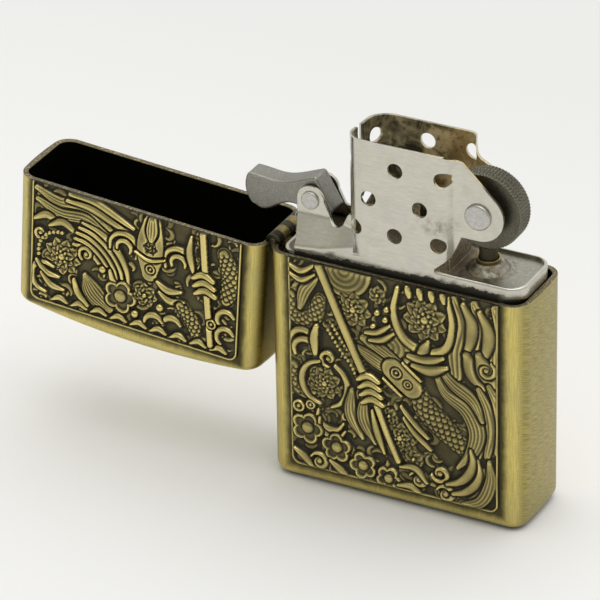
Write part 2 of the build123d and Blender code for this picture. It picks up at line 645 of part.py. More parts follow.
def flint_spring():
    height = TIP_BOTTOM - SPRING_BOTTOM - 2 * SPRING_WIRE - 2 * RUNNING_GAP
    path = Helix(SPRING_PITCH, height, SPRING_RADIUS)
    section = Plane(path @ 0, z_dir=path % 0) * Circle(SPRING_WIRE)
    coil = sweep(section, path, is_frenet=True)
    return Pos(WHEEL_X, 0, SPRING_BOTTOM + SPRING_WIRE + RUNNING_GAP) * coil


def spring_screw():
    """Slotted screw that closes the tube and seats the spring."""
    head_top = TUBE_BOTTOM - RUNNING_GAP
    head_low = head_top - SCREW_HEAD_HEIGHT
    screw = upright_rod(SCREW_HEAD_RADIUS, WHEEL_X, head_low, head_top)
    screw = screw + upright_rod(SCREW_SHANK_RADIUS, WHEEL_X, head_low, SPRING_BOTTOM)
    half = SCREW_SLOT / 2
    slot_low = (WHEEL_X - SPAN, -half, head_low - OVERCUT)
    slot = box_between(slot_low, (WHEEL_X + SPAN, half, head_low + SCREW_SLOT))
    return screw - slot


def wick():
    """Wick that runs down the insert and turns under the cotton."""
    points = [(WICK_X, 0, WICK_TOP), (WICK_X, 0, WICK_LOW_Z), (WICK_END_X, 0, WICK_LOW_Z)]
    path = FilletPolyline(*points, radius=WICK_BEND_RADIUS)
    section = Plane(points[0], z_dir=(0, 0, -1)) * Circle(WICK_RADIUS)
    return sweep(section, path)


def cotton_ball(left, right, bottom, top):
    """Rounded pad of packed cotton."""
    pad = box_between((left, -COTTON_DEPTH / 2, bottom), (right, COTTON_DEPTH / 2, top))
    return fillet(pad.edges(), COTTON_ROUNDING)


def felt_pad():
    pad = insert_slab(SHEET + FELT_CLEARANCE / 2, FELT_BOTTOM, FELT_TOP)
    return pad - upright_rod(SCREW_HEAD_RADIUS + FELT_CLEARANCE, WHEEL_X, 0, SPAN)


nodes = {
    "case_body": case_body(),
    "case_lid": open_lid(case_lid()),
    "body_relief_plate": relief_plate(BODY_PLATE_WIDTH, BODY_PLATE_BOTTOM, CASE_HEIGHT, "top"),
    "lid_relief_plate": open_lid(relief_plate(LID_PLATE_WIDTH, LID_BOTTOM, LID_PLATE_TOP, "bottom")),
    "hinge_leaf_body": hinge_leaf(-1, (1, 3)),
    "hinge_leaf_lid": open_lid(hinge_leaf(1, (0, 2, 4))),
    "hinge_pin": hinge_pin(),
    "insert_shell": insert_shell(),
    "insert_deck": insert_deck(),
    "cam_lever": cam_lever(),
    "cam_rivet": through_rivet(CAM_RIVET_RADIUS, CAM_HEAD_RADIUS, CAM_HEAD_HEIGHT, CAM_X, CAM_Z, CAM_EAR_Y),
    "cam_spring": cam_spring(),
    "cam_spring_rivet": cam_spring_rivet(),
    "flint_wheel": flint_wheel(),
    "wheel_rivet": through_rivet(
        AXLE_RADIUS, WHEEL_HEAD_RADIUS, WHEEL_HEAD_HEIGHT, WHEEL_X, WHEEL_Z, WHEEL_EAR_Y
    ),
    "flint_tube": flint_tube(),
    "flint": flint(),
    "spring_tip": spring_tip(),
    "flint_spring": flint_spring(),
    "spring_screw": spring_screw(),
    "wick": wick(),
    "cotton_upper_left": cotton_ball(COTTON_LEFT_SIDE, *COTTON_UPPER),
    "cotton_lower_left": cotton_ball(COTTON_LEFT_SIDE, *COTTON_LOWER),
    "cotton_middle": cotton_ball(*COTTON_MIDDLE, COTTON_FLOOR, COTTON_CEILING),
    "cotton_right": cotton_ball(*COTTON_RIGHT, COTTON_FLOOR, COTTON_CEILING),
    "felt_pad": felt_pad(),
}

for name, shape in nodes.items():
    export_step(shape, f"parts/{name}.step")
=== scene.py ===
import json
import math

import bmesh
import bpy
import numpy as np
from mathutils import Matrix, Vector


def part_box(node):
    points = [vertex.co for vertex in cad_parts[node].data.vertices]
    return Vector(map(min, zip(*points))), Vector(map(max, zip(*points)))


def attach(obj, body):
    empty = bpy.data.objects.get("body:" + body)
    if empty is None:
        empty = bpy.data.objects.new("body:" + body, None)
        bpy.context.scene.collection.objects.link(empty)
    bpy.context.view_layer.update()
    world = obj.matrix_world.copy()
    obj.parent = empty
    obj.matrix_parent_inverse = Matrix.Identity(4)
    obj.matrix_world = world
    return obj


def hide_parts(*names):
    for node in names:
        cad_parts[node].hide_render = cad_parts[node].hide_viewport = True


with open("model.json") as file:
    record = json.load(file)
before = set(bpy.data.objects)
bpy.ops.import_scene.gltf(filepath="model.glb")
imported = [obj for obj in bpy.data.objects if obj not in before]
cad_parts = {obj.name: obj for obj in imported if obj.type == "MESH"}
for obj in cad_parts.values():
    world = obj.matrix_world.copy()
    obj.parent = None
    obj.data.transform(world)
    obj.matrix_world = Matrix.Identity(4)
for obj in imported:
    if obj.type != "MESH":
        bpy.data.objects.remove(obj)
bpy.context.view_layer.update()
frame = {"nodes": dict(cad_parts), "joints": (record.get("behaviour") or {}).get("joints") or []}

MM = 0.001
NODES = frame["nodes"]

# ---- Sizes of the CAD that the finishes and the lid's plate need, in millimetres ----
HINGE = Vector({joint["name"]: joint for joint in frame["joints"]}["lid_hinge"]["pos_m"]) / MM
LID_SWING = math.radians(175.7)
HALF_WIDTH = 19.05
CAVITY_FLAT = (16.3, 3.8)
LID_CAVITY_TOP = 55.12
LID_CROWN = 1.6
TUBE_X = 10.9

# ---- Camera ------------------------------------------------------------------
CAMERA_AZIMUTH = 28.278
CAMERA_ELEVATION = 29.152
CAMERA_ROLL = -1.2267
CAMERA_PLACE = (0.252305, -0.501221, 0.341511)
CAMERA_LENS = 289.757
CAMERA_SENSOR = 36.0
CAMERA_CLIP = (0.01, 20)

# ---- Studio ------------------------------------------------------------------
FLOOR_SIZE = 6.0
FLOOR_NEAR = (0.85, 0.848, 0.838)
FLOOR_FAR = (0.76, 0.76, 0.752)
FLOOR_FADE = (10.0, 115.0)
SKY_LOW = (0.46, 0.455, 0.40)
SKY_HIGH = (0.90, 0.90, 0.90)
SKY_TOWARD = (0.05, 0.55, 0.8)
SKY_RANGE = (-0.2, 0.9)
LIGHT_PLACE = (0.1, 0.1, 2.3)
LIGHT_AIM = (-0.01, 0.0, 0.03)
LIGHT_SIZE = (3.2, 2.6)
LIGHT_POWER = 28.5


class Nodes:
    """Adds nodes to a tree and wires them, so that a finish can be written as sums."""

    def __init__(self, owner):
        owner.use_nodes = True
        self.tree = owner.node_tree

    def add(self, kind, **settings):
        node = self.tree.nodes.new(kind)
        for key, value in settings.items():
            setattr(node, key, value)
        return node

    def feed(self, socket, value):
        if isinstance(value, bpy.types.NodeSocket):
            self.tree.links.new(value, socket)
        elif isinstance(value, tuple) and len(value) == 3 and socket.type == "RGBA":
            socket.default_value = (*value, 1.0)
        else:
            socket.default_value = value

    def vector(self, operation, a, b=(0.0, 0.0, 0.0), scale=1.0):
        node = self.add("ShaderNodeVectorMath", operation=operation)
        self.feed(node.inputs[0], a)
        self.feed(node.inputs[1], b)
        if operation == "SCALE":
            self.feed(node.inputs["Scale"], scale)
        return node.outputs["Value" if operation in ("LENGTH", "DOT_PRODUCT", "DISTANCE") else "Vector"]

    def math(self, operation, a, b=0.0):
        node = self.add("ShaderNodeMath", operation=operation)
        self.feed(node.inputs[0], a)
        self.feed(node.inputs[1], b)
        return node.outputs["Value"]

    def total(self, first, *others):
        for value in others:
            first = self.math("ADD", first, value)
        return first

    def product(self, first, *others):
        for value in others:
            first = self.math("MULTIPLY", first, value)
        return first

    def less(self, a, b):
        return self.math("SUBTRACT", a, b)

    def absolute(self, value):
        return self.math("ABSOLUTE", value)

    def swing(self, noise, amount):
        """A noise of 0 to 1 as a shift either way, by half the amount at most."""
        return self.product(self.less(noise, 0.5), amount)

    def split(self, vector):
        node = self.add("ShaderNodeSeparateXYZ")
        self.feed(node.inputs[0], vector)
        return node.outputs["X"], node.outputs["Y"], node.outputs["Z"]

    def join(self, x, y, z):
        node = self.add("ShaderNodeCombineXYZ")
        for socket, value in zip(node.inputs, (x, y, z)):
            self.feed(socket, value)
        return node.outputs["Vector"]

    def remap(self, value, low, high, out_low=0.0, out_high=1.0, smooth=False):
        node = self.add("ShaderNodeMapRange", clamp=True)
        if smooth:
            node.interpolation_type = "SMOOTHSTEP"
        for name, number in zip(("From Min", "From Max", "To Min", "To Max"), (low, high, out_low, out_high)):
            self.feed(node.inputs[name], number)
        self.feed(node.inputs["Value"], value)
        return node.outputs["Result"]

    def mix(self, factor, a, b):
        """Between two colours."""
        node = self.add("ShaderNodeMix", data_type="RGBA")
        self.feed(node.inputs["Factor"], factor)
        self.feed(node.inputs[6], a)
        self.feed(node.inputs[7], b)
        return node.outputs[2]

    def blend(self, factor, a, b):
        """Between two numbers."""
        node = self.add("ShaderNodeMix", data_type="FLOAT")
        self.feed(node.inputs[0], factor)
        self.feed(node.inputs[2], a)
        self.feed(node.inputs[3], b)
        return node.outputs[0]


class Shader(Nodes):
    """A material under construction. Places are in millimetres."""

    def __init__(self, name):
        self.material = bpy.data.materials.new(name)
        super().__init__(self.material)
        self.tree.nodes.clear()
        output = self.add("ShaderNodeOutputMaterial")
        self.bsdf = self.add("ShaderNodeBsdfPrincipled")
        self.feed(output.inputs["Surface"], self.bsdf.outputs["BSDF"])
        coordinates = self.add("ShaderNodeTexCoord")
        self.place = self.vector("SCALE", coordinates.outputs["Object"], scale=1 / MM)

    def stretch(self, factors, vector=None):
        return self.vector("MULTIPLY", self.place if vector is None else vector, factors)

    def noise(self, scale, vector=None, detail=4.0, roughness=0.55, distortion=0.0):
        node = self.add("ShaderNodeTexNoise")
        self.feed(node.inputs["Vector"], self.place if vector is None else vector)
        node.inputs["Scale"].default_value = scale
        node.inputs["Detail"].default_value = detail
        node.inputs["Roughness"].default_value = roughness
        node.inputs["Distortion"].default_value = distortion
        return node.outputs["Fac"]

    def edges(self, radius):
        """How far the surface turns within a short reach, one on edges and zero on flats; its soft normal."""
        rounded = self.add("ShaderNodeBevel", samples=4)
        rounded.inputs["Radius"].default_value = radius * MM
        true = self.add("ShaderNodeNewGeometry")
        alike = self.vector("DOT_PRODUCT", rounded.outputs["Normal"], true.outputs["True Normal"])
        return self.remap(alike, 0.97, 0.75), rounded.outputs["Normal"]

    def bump(self, height, distance, strength, normal=None):
        node = self.add("ShaderNodeBump")
        node.inputs["Strength"].default_value = strength
        node.inputs["Distance"].default_value = distance * MM
        self.feed(node.inputs["Height"], height)
        if normal is not None:
            self.feed(node.inputs["Normal"], normal)
        return node.outputs["Normal"]

    def finish(self, colour, metallic, roughness, normal=None, **others):
        self.feed(self.bsdf.inputs["Base Color"], colour)
        self.feed(self.bsdf.inputs["Metallic"], metallic)
        self.feed(self.bsdf.inputs["Roughness"], roughness)
        if normal is not None:
            self.feed(self.bsdf.inputs["Normal"], normal)
        for name, value in others.items():
            self.feed(self.bsdf.inputs[name.replace("_", " ")], value)
        return self.material


def wear(material, *names):
    """Gives a material to CAD nodes."""
    for name in names:
        mesh = NODES[name].data
        mesh.materials.clear()
        mesh.materials.append(material)


# ---- Relief: a height field drawn with strokes, in millimetres ---------------
GROUND = 0.16
OUTSIDE = -0.06
GAP = 0.32
CURVE_STEP = 0.1
LEAST_HALF_WIDTH = 0.05


class Relief:
    """Height field of a cast plate. Strokes are laid one over another, each with a dark gap round it."""

    def __init__(self, width, height, pitch, seed):
        self.width, self.height = width, height
        self.across = np.linspace(0, width, int(round(width / pitch)) + 1)
        self.down = np.linspace(0, height, int(round(height / pitch)) + 1)
        self.u, self.v = np.meshgrid(self.across, self.down)
        self.field = np.full(self.u.shape, GROUND)
        self.random = np.random.default_rng(seed)

    def window(self, points, margin):
        """The part of the grid that holds the points and a margin round them."""
        low, high = points.min(0) - margin, points.max(0) + margin
        c0, c1 = np.searchsorted(self.across, (low[0], high[0]))
        r0, r1 = np.searchsorted(self.down, (low[1], high[1]))
        return slice(r0, max(r1, r0 + 1)), slice(c0, max(c1, c0 + 1))

    def near(self, u, v, reach):
        """The grid round a point, and how far each place on it lies across and down from the point."""
        area = self.window(np.array([[u, v]], float), reach)
        return area, self.u[area] - u, self.v[area] - v

    def curve(self, points):
        """Smooth line through points, sampled evenly; returns places, directions and distances."""
        p = np.array(points, float)
        t = np.r_[0, np.cumsum(np.maximum(np.linalg.norm(np.diff(p, axis=0), axis=1), 1e-6) ** 0.5)]
        fine = np.linspace(0, t[-1], max(60, 30 * len(p)))
        q = np.stack([catmull(t, p[:, k], fine) for k in (0, 1)], 1)
        run = np.r_[0, np.cumsum(np.linalg.norm(np.diff(q, axis=0), axis=1))]
        even = np.linspace(0, run[-1], max(4, int(run[-1] / CURVE_STEP)))
        q = np.stack([np.interp(even, run, q[:, k]) for k in (0, 1)], 1)
        d = np.gradient(q, axis=0)
        d /= np.maximum(np.linalg.norm(d, axis=1, keepdims=True), 1e-9)
        return q, d, even

    def lay(self, area, inside, height, gap=None):
        """Puts a shape on top: inside is the distance in from its edge, negative outside."""
        here = self.field[area]
        moat = np.clip(-inside / (gap or GAP), 0, 1)
        sunk = np.minimum(here, GROUND + (here - GROUND) * moat ** 0.8)
        self.field[area] = np.where(inside > 0, height, sunk)

    def along(self, points, reach):
        """For the grid near a curve: distance along it, signed distance across it, and its length."""
        q, d, run = self.curve(points)
        area = self.window(q, reach)
        u, v = self.u[area], self.v[area]
        best = np.full(u.shape, 1e9)
        s = np.zeros(u.shape)
        side = np.zeros(u.shape)
        for k in range(len(q)):
            du, dv = u - q[k, 0], v - q[k, 1]
            apart = du * du + dv * dv
            nearer = apart < best
            best = np.where(nearer, apart, best)
            forward = np.clip(du * d[k, 0] + dv * d[k, 1], -0.06, 0.06)
            s = np.where(nearer, run[k] + forward, s)
            side = np.where(nearer, du * -d[k, 1] + dv * d[k, 0], side)
        return area, s, np.sign(side) * np.sqrt(best), run[-1]

    def band(self, points, start, middle, end):
        """For the grid near a curve: distances along and across a band on it, and half its width."""
        area, s, across, length = self.along(points, max(start, middle, end))
        t = np.clip(s / length, 0, 1)
        first = start + (middle - start) * np.sin(np.clip(t * 2, 0, 1) * np.pi / 2)
        last = end + (middle - end) * np.sin(np.clip(2 - t * 2, 0, 1) * np.pi / 2)
        half = np.maximum(np.where(t < 0.5, first, last) / 2, LEAST_HALF_WIDTH)
        return area, s, across, half

    def ridge(self, points, start, middle, end, low=0.3, high=0.75, flat=1.0, gap=None):
        """A rounded ridge whose width changes along its length."""
        area, _, across, half = self.band(points, start, middle, end)
        t = np.clip(np.abs(across) / half, 0, 1)
        dome = (1 - t ** (2 * flat)) ** 0.6
        self.lay(area, half - np.abs(across), low + (high - low) * dome, gap)

    def strands(self, points, start, middle, end, count, low=0.28, high=0.72):
        """A lock or ribbon of grooved strands running side by side."""
        area, _, across, half = self.band(points, start, middle, end)
        t = np.clip(across / half, -1, 1)
        groove = np.abs(np.sin((t + 1) * np.pi / 2 * count)) ** 0.7
        body = low + (high - low) * (1 - np.abs(t) ** 2.4) ** 0.5
        self.lay(area, half - np.abs(across), body - 0.26 * (1 - groove))

    def scaled(self, points, start, middle, end, scale):
        """A rounded band covered with overlapping scales."""
        area, s, across, half = self.band(points, start, middle, end)
        t = np.clip(across / half, -1, 1)
        low, high = 0.3, 0.72
        body = low + (high - low) * np.sqrt(np.clip(1 - t ** 2 * 0.85, 0, 1))
        arc = np.arcsin(t) * half
        row = s / (scale * 0.62)
        height = body - 0.3
        for shift in (0, 1, 2):
            r = np.floor(row) - shift
            place = arc / scale + np.mod(r, 2) * 0.5
            dx = (place - np.round(place)) * scale
            dy = (row - r) * scale * 0.62
            reach = np.hypot(dx / (scale * 0.53), np.clip(dy - scale * 0.35, 0, None) / (scale * 0.72))
            tip = np.clip(dy / (scale * 1.07), 0, 1)
            tile = body - 0.3 + 0.4 * tip - 0.2 * reach ** 2
            rim = np.where(reach < 1.16, np.minimum(height, body - 0.42), height)
            height = np.where(reach < 1, tile, rim)
        self.lay(area, half - np.abs(across), height)

    def dome(self, u, v, radius, low=0.32, high=0.9, gap=None):
        """A round stud."""
        area, du, dv = self.near(u, v, radius * 2)
        d = np.hypot(du, dv)
        self.lay(area, radius - d, low + (high - low) * np.sqrt(np.clip(1 - (d / radius) ** 2, 0, 1)), gap)

    def spiral(self, u, v, radius, turns, start_deg, width, hand=1):
        """A scroll that winds in to a bead."""
        t = np.linspace(0, 1, 14)
        angle = math.radians(start_deg) + hand * t * turns * 2 * math.pi
        r = radius * (1 - 0.86 * t)
        points = [(u + a * math.cos(b), v + a * math.sin(b)) for a, b in zip(r, angle)]
        self.ridge(points, width * 0.55, width, width * 0.6, gap=0.2)
        self.dome(u, v, width * 0.55, high=0.75, gap=0.1)

    def cloud(self, u, v, radius, lobes, turn):
        """A lobed cloud: a raised rim in scallops round a sunk field with a stud in it."""
        area, du, dv = self.near(u, v, radius * 2.2)
        angle = np.arctan2(dv, du) + math.radians(turn)
        edge = radius * (1 + 0.34 * np.abs(np.cos(angle * lobes / 2)) ** 0.7 - 0.2)
        inside = edge - np.hypot(du, dv)
        rim = np.clip(1 - np.abs(inside - 0.3) / 0.32, 0, 1) ** 0.6
        self.lay(area, inside, 0.34 + 0.38 * rim + 0.05 * np.clip(inside, 0, 1))
        self.dome(u, v, radius * 0.42, high=0.8, gap=0.15)

    def petal(self, u, v, angle, root, reach, wide, high):
        """A cupped petal with a crease, pointing away from (u, v)."""
        low = 0.36
        middle = (root + reach) / 2
        spot = np.array([[u + middle * math.cos(angle), v + middle * math.sin(angle)]])
        area = self.window(spot, reach)
        du, dv = self.u[area] - u, self.v[area] - v
        out = du * math.cos(angle) + dv * math.sin(angle)
        side = -du * math.sin(angle) + dv * math.cos(angle) - 0.1 * out
        t = np.clip((out - root) / (reach - root), 0, 1)
        half = wide / 2 * (0.35 + 0.65 * np.sin(np.pi * t ** 0.75)) * np.clip((1 - t) * 5, 0, 1) ** 0.5
        inside = np.minimum(half - np.abs(side), np.minimum(out - root, reach - out))
        across = np.clip(np.abs(side) / np.maximum(half, LEAST_HALF_WIDTH), 0, 1)
        crease = 0.12 * np.clip(1 - np.abs(side) / 0.14, 0, 1)
        height = low + (high - low) * (0.45 + 0.55 * across ** 2) * (0.65 + 0.35 * t) - crease
        self.lay(area, inside, np.where(across > 0.9, height - 0.08, height), 0.22)

    def flower(self, u, v, radius, petals, rings, turn, high):
        """A full blossom: rings of petals round a heart, which has beads round it on a large one."""
        for ring in range(rings):
            reach = radius * (1 - 0.34 * ring)
            number = petals - ring
            for k in range(number):
                a = math.radians(turn + 360 / number * (k + 0.5 * (ring % 2)))
                wide = 2 * math.pi * reach / number * 0.88
                self.petal(u, v, a, radius * 0.1, reach, wide, 0.62 + 0.12 * ring)
        self.dome(u, v, radius * 0.2, high=high, gap=0.18)
        for k in range(7 if radius > 2 else 0):
            a = 2 * math.pi * k / 7
            heart = radius * 0.28
            self.dome(u + heart * math.cos(a), v + heart * math.sin(a), radius * 0.09, high=0.8, gap=0.05)

    def filler(self, count):
        """Short arcs that fill the ground between the large shapes."""
        ranges = (
            (0, self.width), (0, self.height), (0, 360), (0.7, 1.7), (110, 230), (0.5, 0.95), (0.34, 0.52),
        )
        for _ in range(count):
            u, v, turn, radius, sweep, wide, high = (self.random.uniform(*r) for r in ranges)
            radii = radius * np.linspace(1, 0.55, 7)
            angles = np.radians(np.linspace(turn, turn + sweep, 7))
            points = [(u + r * math.cos(a), v + r * math.sin(a)) for r, a in zip(radii, angles)]
            self.ridge(points, wide * 0.4, wide, wide * 0.4, 0.26, high, gap=0.2)

    def fan(self, u, v, radius, start_deg, end_deg, count):
        """Nested arcs, like a shell or a breaking wave."""
        area, du, dv = self.near(u, v, radius * 1.1)
        r = np.hypot(du, dv)
        middle = math.radians((start_deg + end_deg) / 2)
        half = math.radians(end_deg - start_deg) / 2
        off = np.angle(np.exp(1j * (np.arctan2(dv, du) - middle)))
        inside = np.minimum(radius - r, (half - np.abs(off)) * np.maximum(r, 0.3))
        wave = np.abs(np.sin(r / radius * np.pi * count)) ** 0.8
        low, high = 0.3, 0.66
        height = low + (high - low) * (0.45 + 0.55 * wave) * (0.7 + 0.3 * r / radius)
        self.lay(area, inside, height, 0.25)

    def beads(self, points, radius):
        """A string of beads."""
        q, _, run = self.curve(points)
        for s in np.arange(0, run[-1], radius * 2.1):
            k = int(np.argmin(np.abs(run - s)))
            self.dome(q[k, 0], q[k, 1], radius, high=0.72, gap=0.08)

    def ring(self, u, v, radius):
        """A raised ring with a stud in the middle."""
        low, high = 0.42, 0.82
        area, du, dv = self.near(u, v, radius * 2)
        d = np.hypot(du, dv)
        rim = np.clip(1 - np.abs(radius * 0.78 - d) / (radius * 0.24), 0, 1) ** 0.6
        self.lay(area, radius - d, low + (high - low) * rim, 0.2)
        self.dome(u, v, radius * 0.34, low=0.45, high=high, gap=0.08)

    def border(self, radius, width, rise):
        """Raised line round the sides and the rounded bottom; the top edge stays open."""
        half = self.width / 2
        du = np.clip(np.abs(self.u - half) - (half - radius), 0, None)
        dv = np.clip(self.v - (self.height - radius), 0, None)
        inside = radius - np.hypot(du, dv)
        line = rise * np.sin(np.pi * np.clip(inside / width, 0, 1)) ** 0.5
        self.field = np.where(inside < width, line, self.field)
        self.field = np.where(inside < 0, OUTSIDE, self.field)

    def soften(self):
        """Rounds the steps off a little, as a casting does."""
        p = np.pad(self.field, 1, mode="edge")
        near = p[:-2, 1:-1] + p[2:, 1:-1] + p[1:-1, :-2] + p[1:-1, 2:]
        far = p[:-2, :-2] + p[2:, 2:] + p[2:, :-2] + p[:-2, 2:]
        soft = self.field * 0.25 + near * 0.125 + far * 0.0625
        self.field = np.where(self.field < 0, self.field, soft)

    def cavity(self, reach):
        """How far each spot stands above its surroundings."""
        raised = np.clip(self.field, 0, None)
        size = max(1, int(reach / (self.across[1] - self.across[0])))
        span = 2 * size + 1
        blur = raised
        for axis in (0, 1, 0, 1):
            p = np.pad(blur, [(size + 1, size) if a == axis else (0, 0) for a in (0, 1)], mode="edge")
            total = np.cumsum(p, axis)
            after = np.take(total, range(span, total.shape[axis]), axis)
            before = np.take(total, range(total.shape[axis] - span), axis)
            blur = (after - before) / span
        return raised - blur


def catmull(t, values, fine):
    """Cubic interpolation through values at uneven knots."""
    slope = np.gradient(values, t)
    k = np.clip(np.searchsorted(t, fine, side="right") - 1, 0, len(t) - 2)
    h = t[k + 1] - t[k]
    x = (fine - t[k]) / h
    a, b = values[k], values[k + 1]
    m, n = slope[k] * h, slope[k + 1] * h
    from_a = (2 * x**3 - 3 * x**2 + 1) * a + (x**3 - 2 * x**2 + x) * m
    return from_a + (3 * x**2 - 2 * x**3) * b + (x**3 - x**2) * n


# ---- Design of the two plates ------------------------------------------------
# Millimetres from the plate's upper left corner, with the lid open: across, then down. After a
# stroke's points come its widths at the start, middle and end.
def repeat(draw, points, step, count, *sizes):
    """The same stroke several times over, each moved on by one step."""
    for k in range(count):
        draw([(u + step[0] * k, v + step[1] * k) for u, v in points], *sizes)


def around(u, v, radius, start_deg, end_deg, count=6):
    """Points on part of a circle."""
    angles = np.radians(np.linspace(start_deg, end_deg, count))
    return [(u + radius * math.cos(a), v + radius * math.sin(a)) for a in angles]


def staff(plate, points, width, wraps=0, first_wrap=(0.0, 0.0)):
    """A smooth staff, and the turns of a ribbon wound round it."""
    plate.ridge(points, width, width, width * 0.9, 0.5, 1.0, gap=0.3)
    u, v = first_wrap
    for k in range(wraps):
        at = v + 1.15 * k
        line = [(u - 1.5 + 0.2 * k, at + 0.5), (u + 0.2 * k, at - 0.3), (u + 1.6 + 0.2 * k, at + 0.3)]
        plate.ridge(line, 0.7, 1.15, 0.7, 0.6, 1.0, gap=0.15)


def case_design(plate):
    """A staff laid over ribbons, scales and blossoms, with clouds along the bottom."""
    plate.fan(8.5, 0.0, 4.0, 0, 180, 5)
    plate.fan(1.0, 3.5, 2.6, -60, 120, 3)
    plate.fan(15.0, 10.0, 3.2, -120, 60, 4)
    # ribbons down the right side
    ribbon = [(24.6, 0.5), (25.6, 4.0), (24.8, 8.0), (25.0, 12.0)]
    repeat(plate.strands, ribbon, (3.0, 0.0), 3, 1.2, 2.6, 1.8, 3)
    repeat(plate.ridge, [(26.0, 1.0), (27.2, 3.5), (27.0, 6.5), (26.2, 8.5)], (2.4, 0.6), 2, 0.9, 1.9, 0.7)
    repeat(plate.ridge, [(26.5, 8.5), (27.6, 11.0), (29.0, 13.0)], (1.8, -0.4), 2, 1.4, 2.8, 0.8)
    ribbon = [(26.8, 14.0), (28.0, 16.5), (28.6, 20.0), (28.0, 24.0)]
    repeat(plate.strands, ribbon, (1.5, -0.8), 3, 1.0, 1.9, 1.0, 3)
    plate.spiral(29.4, 10.0, 1.4, 1.2, -60, 0.8)
    # long scaled band and the lock that sweeps round it
    plate.scaled([(18.6, 15.0), (20.4, 18.2), (23.0, 20.4), (26.4, 23.2)], 2.8, 3.8, 2.6, 1.15)
    lock = [(21.8, 12.0), (23.4, 14.8), (26.6, 16.8), (28.0, 20.0), (27.0, 23.6), (25.2, 26.0)]
    plate.strands(lock, 0.8, 2.8, 0.7, 5)
    plate.strands([(22.2, 11.0), (24.6, 13.4), (27.4, 15.2), (28.8, 18.0)], 0.8, 2.0, 0.8, 4)
    # bowl of ribbon with a full blossom in it
    bowl = [(16.4, 0.8), (15.8, 4.6), (17.4, 8.2), (20.6, 9.4), (23.4, 8.2), (24.4, 4.6), (23.8, 0.6)]
    plate.ridge(bowl, 0.8, 1.4, 0.8, 0.35, 0.85)
    plate.flower(20.4, 4.6, 3.3, 9, 3, 10, 0.9)
    repeat(plate.ridge, [(17.8, 0.2), (18.2, 1.6)], (1.7, -0.1), 4, 0.6, 1.1, 0.7, 0.4, 0.85)
    # leaves fanned out beside the staff
    for turn in (10, 32, 54):
        line = around(12.5, 4.5, 9.0, turn + 12, turn + 30, 4)
        plate.ridge(line, 0.8, 1.7, 0.8)
    repeat(plate.ridge, [(18.0, 10.6), (20.4, 10.9), (23.0, 9.8)], (0.6, 1.3), 2, 0.9, 1.7, 0.8)
    repeat(plate.strands, [(11.2, 9.6), (13.8, 10.8), (16.8, 12.4)], (-0.9, 1.7), 2, 1.2, 2.1, 1.3, 5)
    # clasp with two rings
    plate.ridge([(15.6, 13.2), (18.4, 15.4)], 3.2, 3.4, 3.2, 0.5, 0.74, 5)
    plate.ring(16.2, 13.6, 0.85)
    plate.ring(17.9, 15.0, 0.65)
    repeat(plate.ridge, [(14.2, 14.8), (17.0, 17.0)], (2.9, -3.0), 2, 0.35, 0.5, 0.35, 0.5, 0.9)
    # blossom, berries and beads at the upper left
    plate.flower(9.8, 5.6, 2.7, 8, 2, 0, 0.88)
    plate.flower(13.4, 2.6, 1.4, 6, 1, 20, 0.82)
    for u, v in ((13.4, 5.2), (14.6, 6.0), (12.8, 7.4), (14.8, 4.4), (13.8, 7.8)):
        plate.dome(u, v, 0.5)
    repeat(plate.ridge, [(11.6, 8.6), (13.4, 8.2), (15.2, 6.8)], (0.6, 1.0), 2, 0.6, 1.1, 0.6)
    repeat(plate.beads, [(6.0, 9.6), (7.6, 12.0), (9.4, 14.2), (10.4, 16.4)], (0.7, -0.8), 3, 0.3)
    # scaled coils and curls at the left
    plate.scaled([(0.4, 5.6), (1.0, 8.4), (3.4, 8.6), (4.8, 5.2)], 1.8, 2.7, 1.8, 0.95)
    plate.scaled([(0.6, 16.4), (1.6, 19.4), (3.6, 19.4), (4.0, 16.6)], 2.0, 3.0, 2.0, 1.0)
    plate.strands([(1.8, 7.2), (2.6, 4.4), (4.6, 2.0)], 0.9, 2.0, 0.6, 4)
    repeat(plate.ridge, [(0.3, 0.9), (2.0, 1.6), (4.0, 0.4)], (0.1, 1.3), 2, 0.5, 1.0, 0.5)
    repeat(plate.ridge, around(2.2, 12.2, 1.7, 150, 350), (0.3, 1.4), 2, 0.5, 1.1, 0.5)
    plate.ridge([(4.3, 9.4), (3.9, 11.4), (4.1, 13.6)], 0.9, 1.4, 0.9, 0.4, 0.9)
    plate.spiral(6.0, 14.0, 1.3, 1.2, 90, 0.8)
    plate.ridge(around(5.2, 18.0, 3.3, 100, 260, 7), 0.6, 1.1, 0.6)
    plate.ridge(around(5.2, 18.0, 3.6, -60, 70, 6), 0.6, 1.1, 0.6)
    plate.flower(5.4, 18.0, 2.5, 8, 2, 12, 0.88)
    for u, v, radius in ((1.4, 22.4, 0.95), (3.2, 21.8, 0.75), (8.6, 22.4, 0.7)):
        plate.ring(u, v, radius)
    repeat(plate.ridge, around(6.2, 23.0, 2.0, 20, 200), (0.2, 1.2), 2, 0.5, 1.1, 0.5)
    # blades below the clasp, and a spray of small blossoms
    repeat(plate.strands, [(9.4, 18.0), (9.2, 21.6), (11.0, 25.2)], (1.9, 0.3), 2, 0.8, 2.0, 0.5, 4)
    repeat(plate.ridge, [(13.8, 19.4), (14.4, 22.4), (15.6, 25.6)], (-1.3, 1.0), 2, 0.6, 1.2, 0.5)
    plate.flower(16.6, 23.6, 2.4, 8, 2, 0, 0.88)
    plate.flower(18.6, 26.4, 1.5, 6, 1, 20, 0.84)
    plate.flower(15.0, 20.6, 1.3, 6, 1, 0, 0.82)
    repeat(plate.ridge, [(16.8, 18.6), (18.4, 20.6), (20.8, 22.6)], (0.4, 1.7), 2, 0.5, 1.0, 0.5)
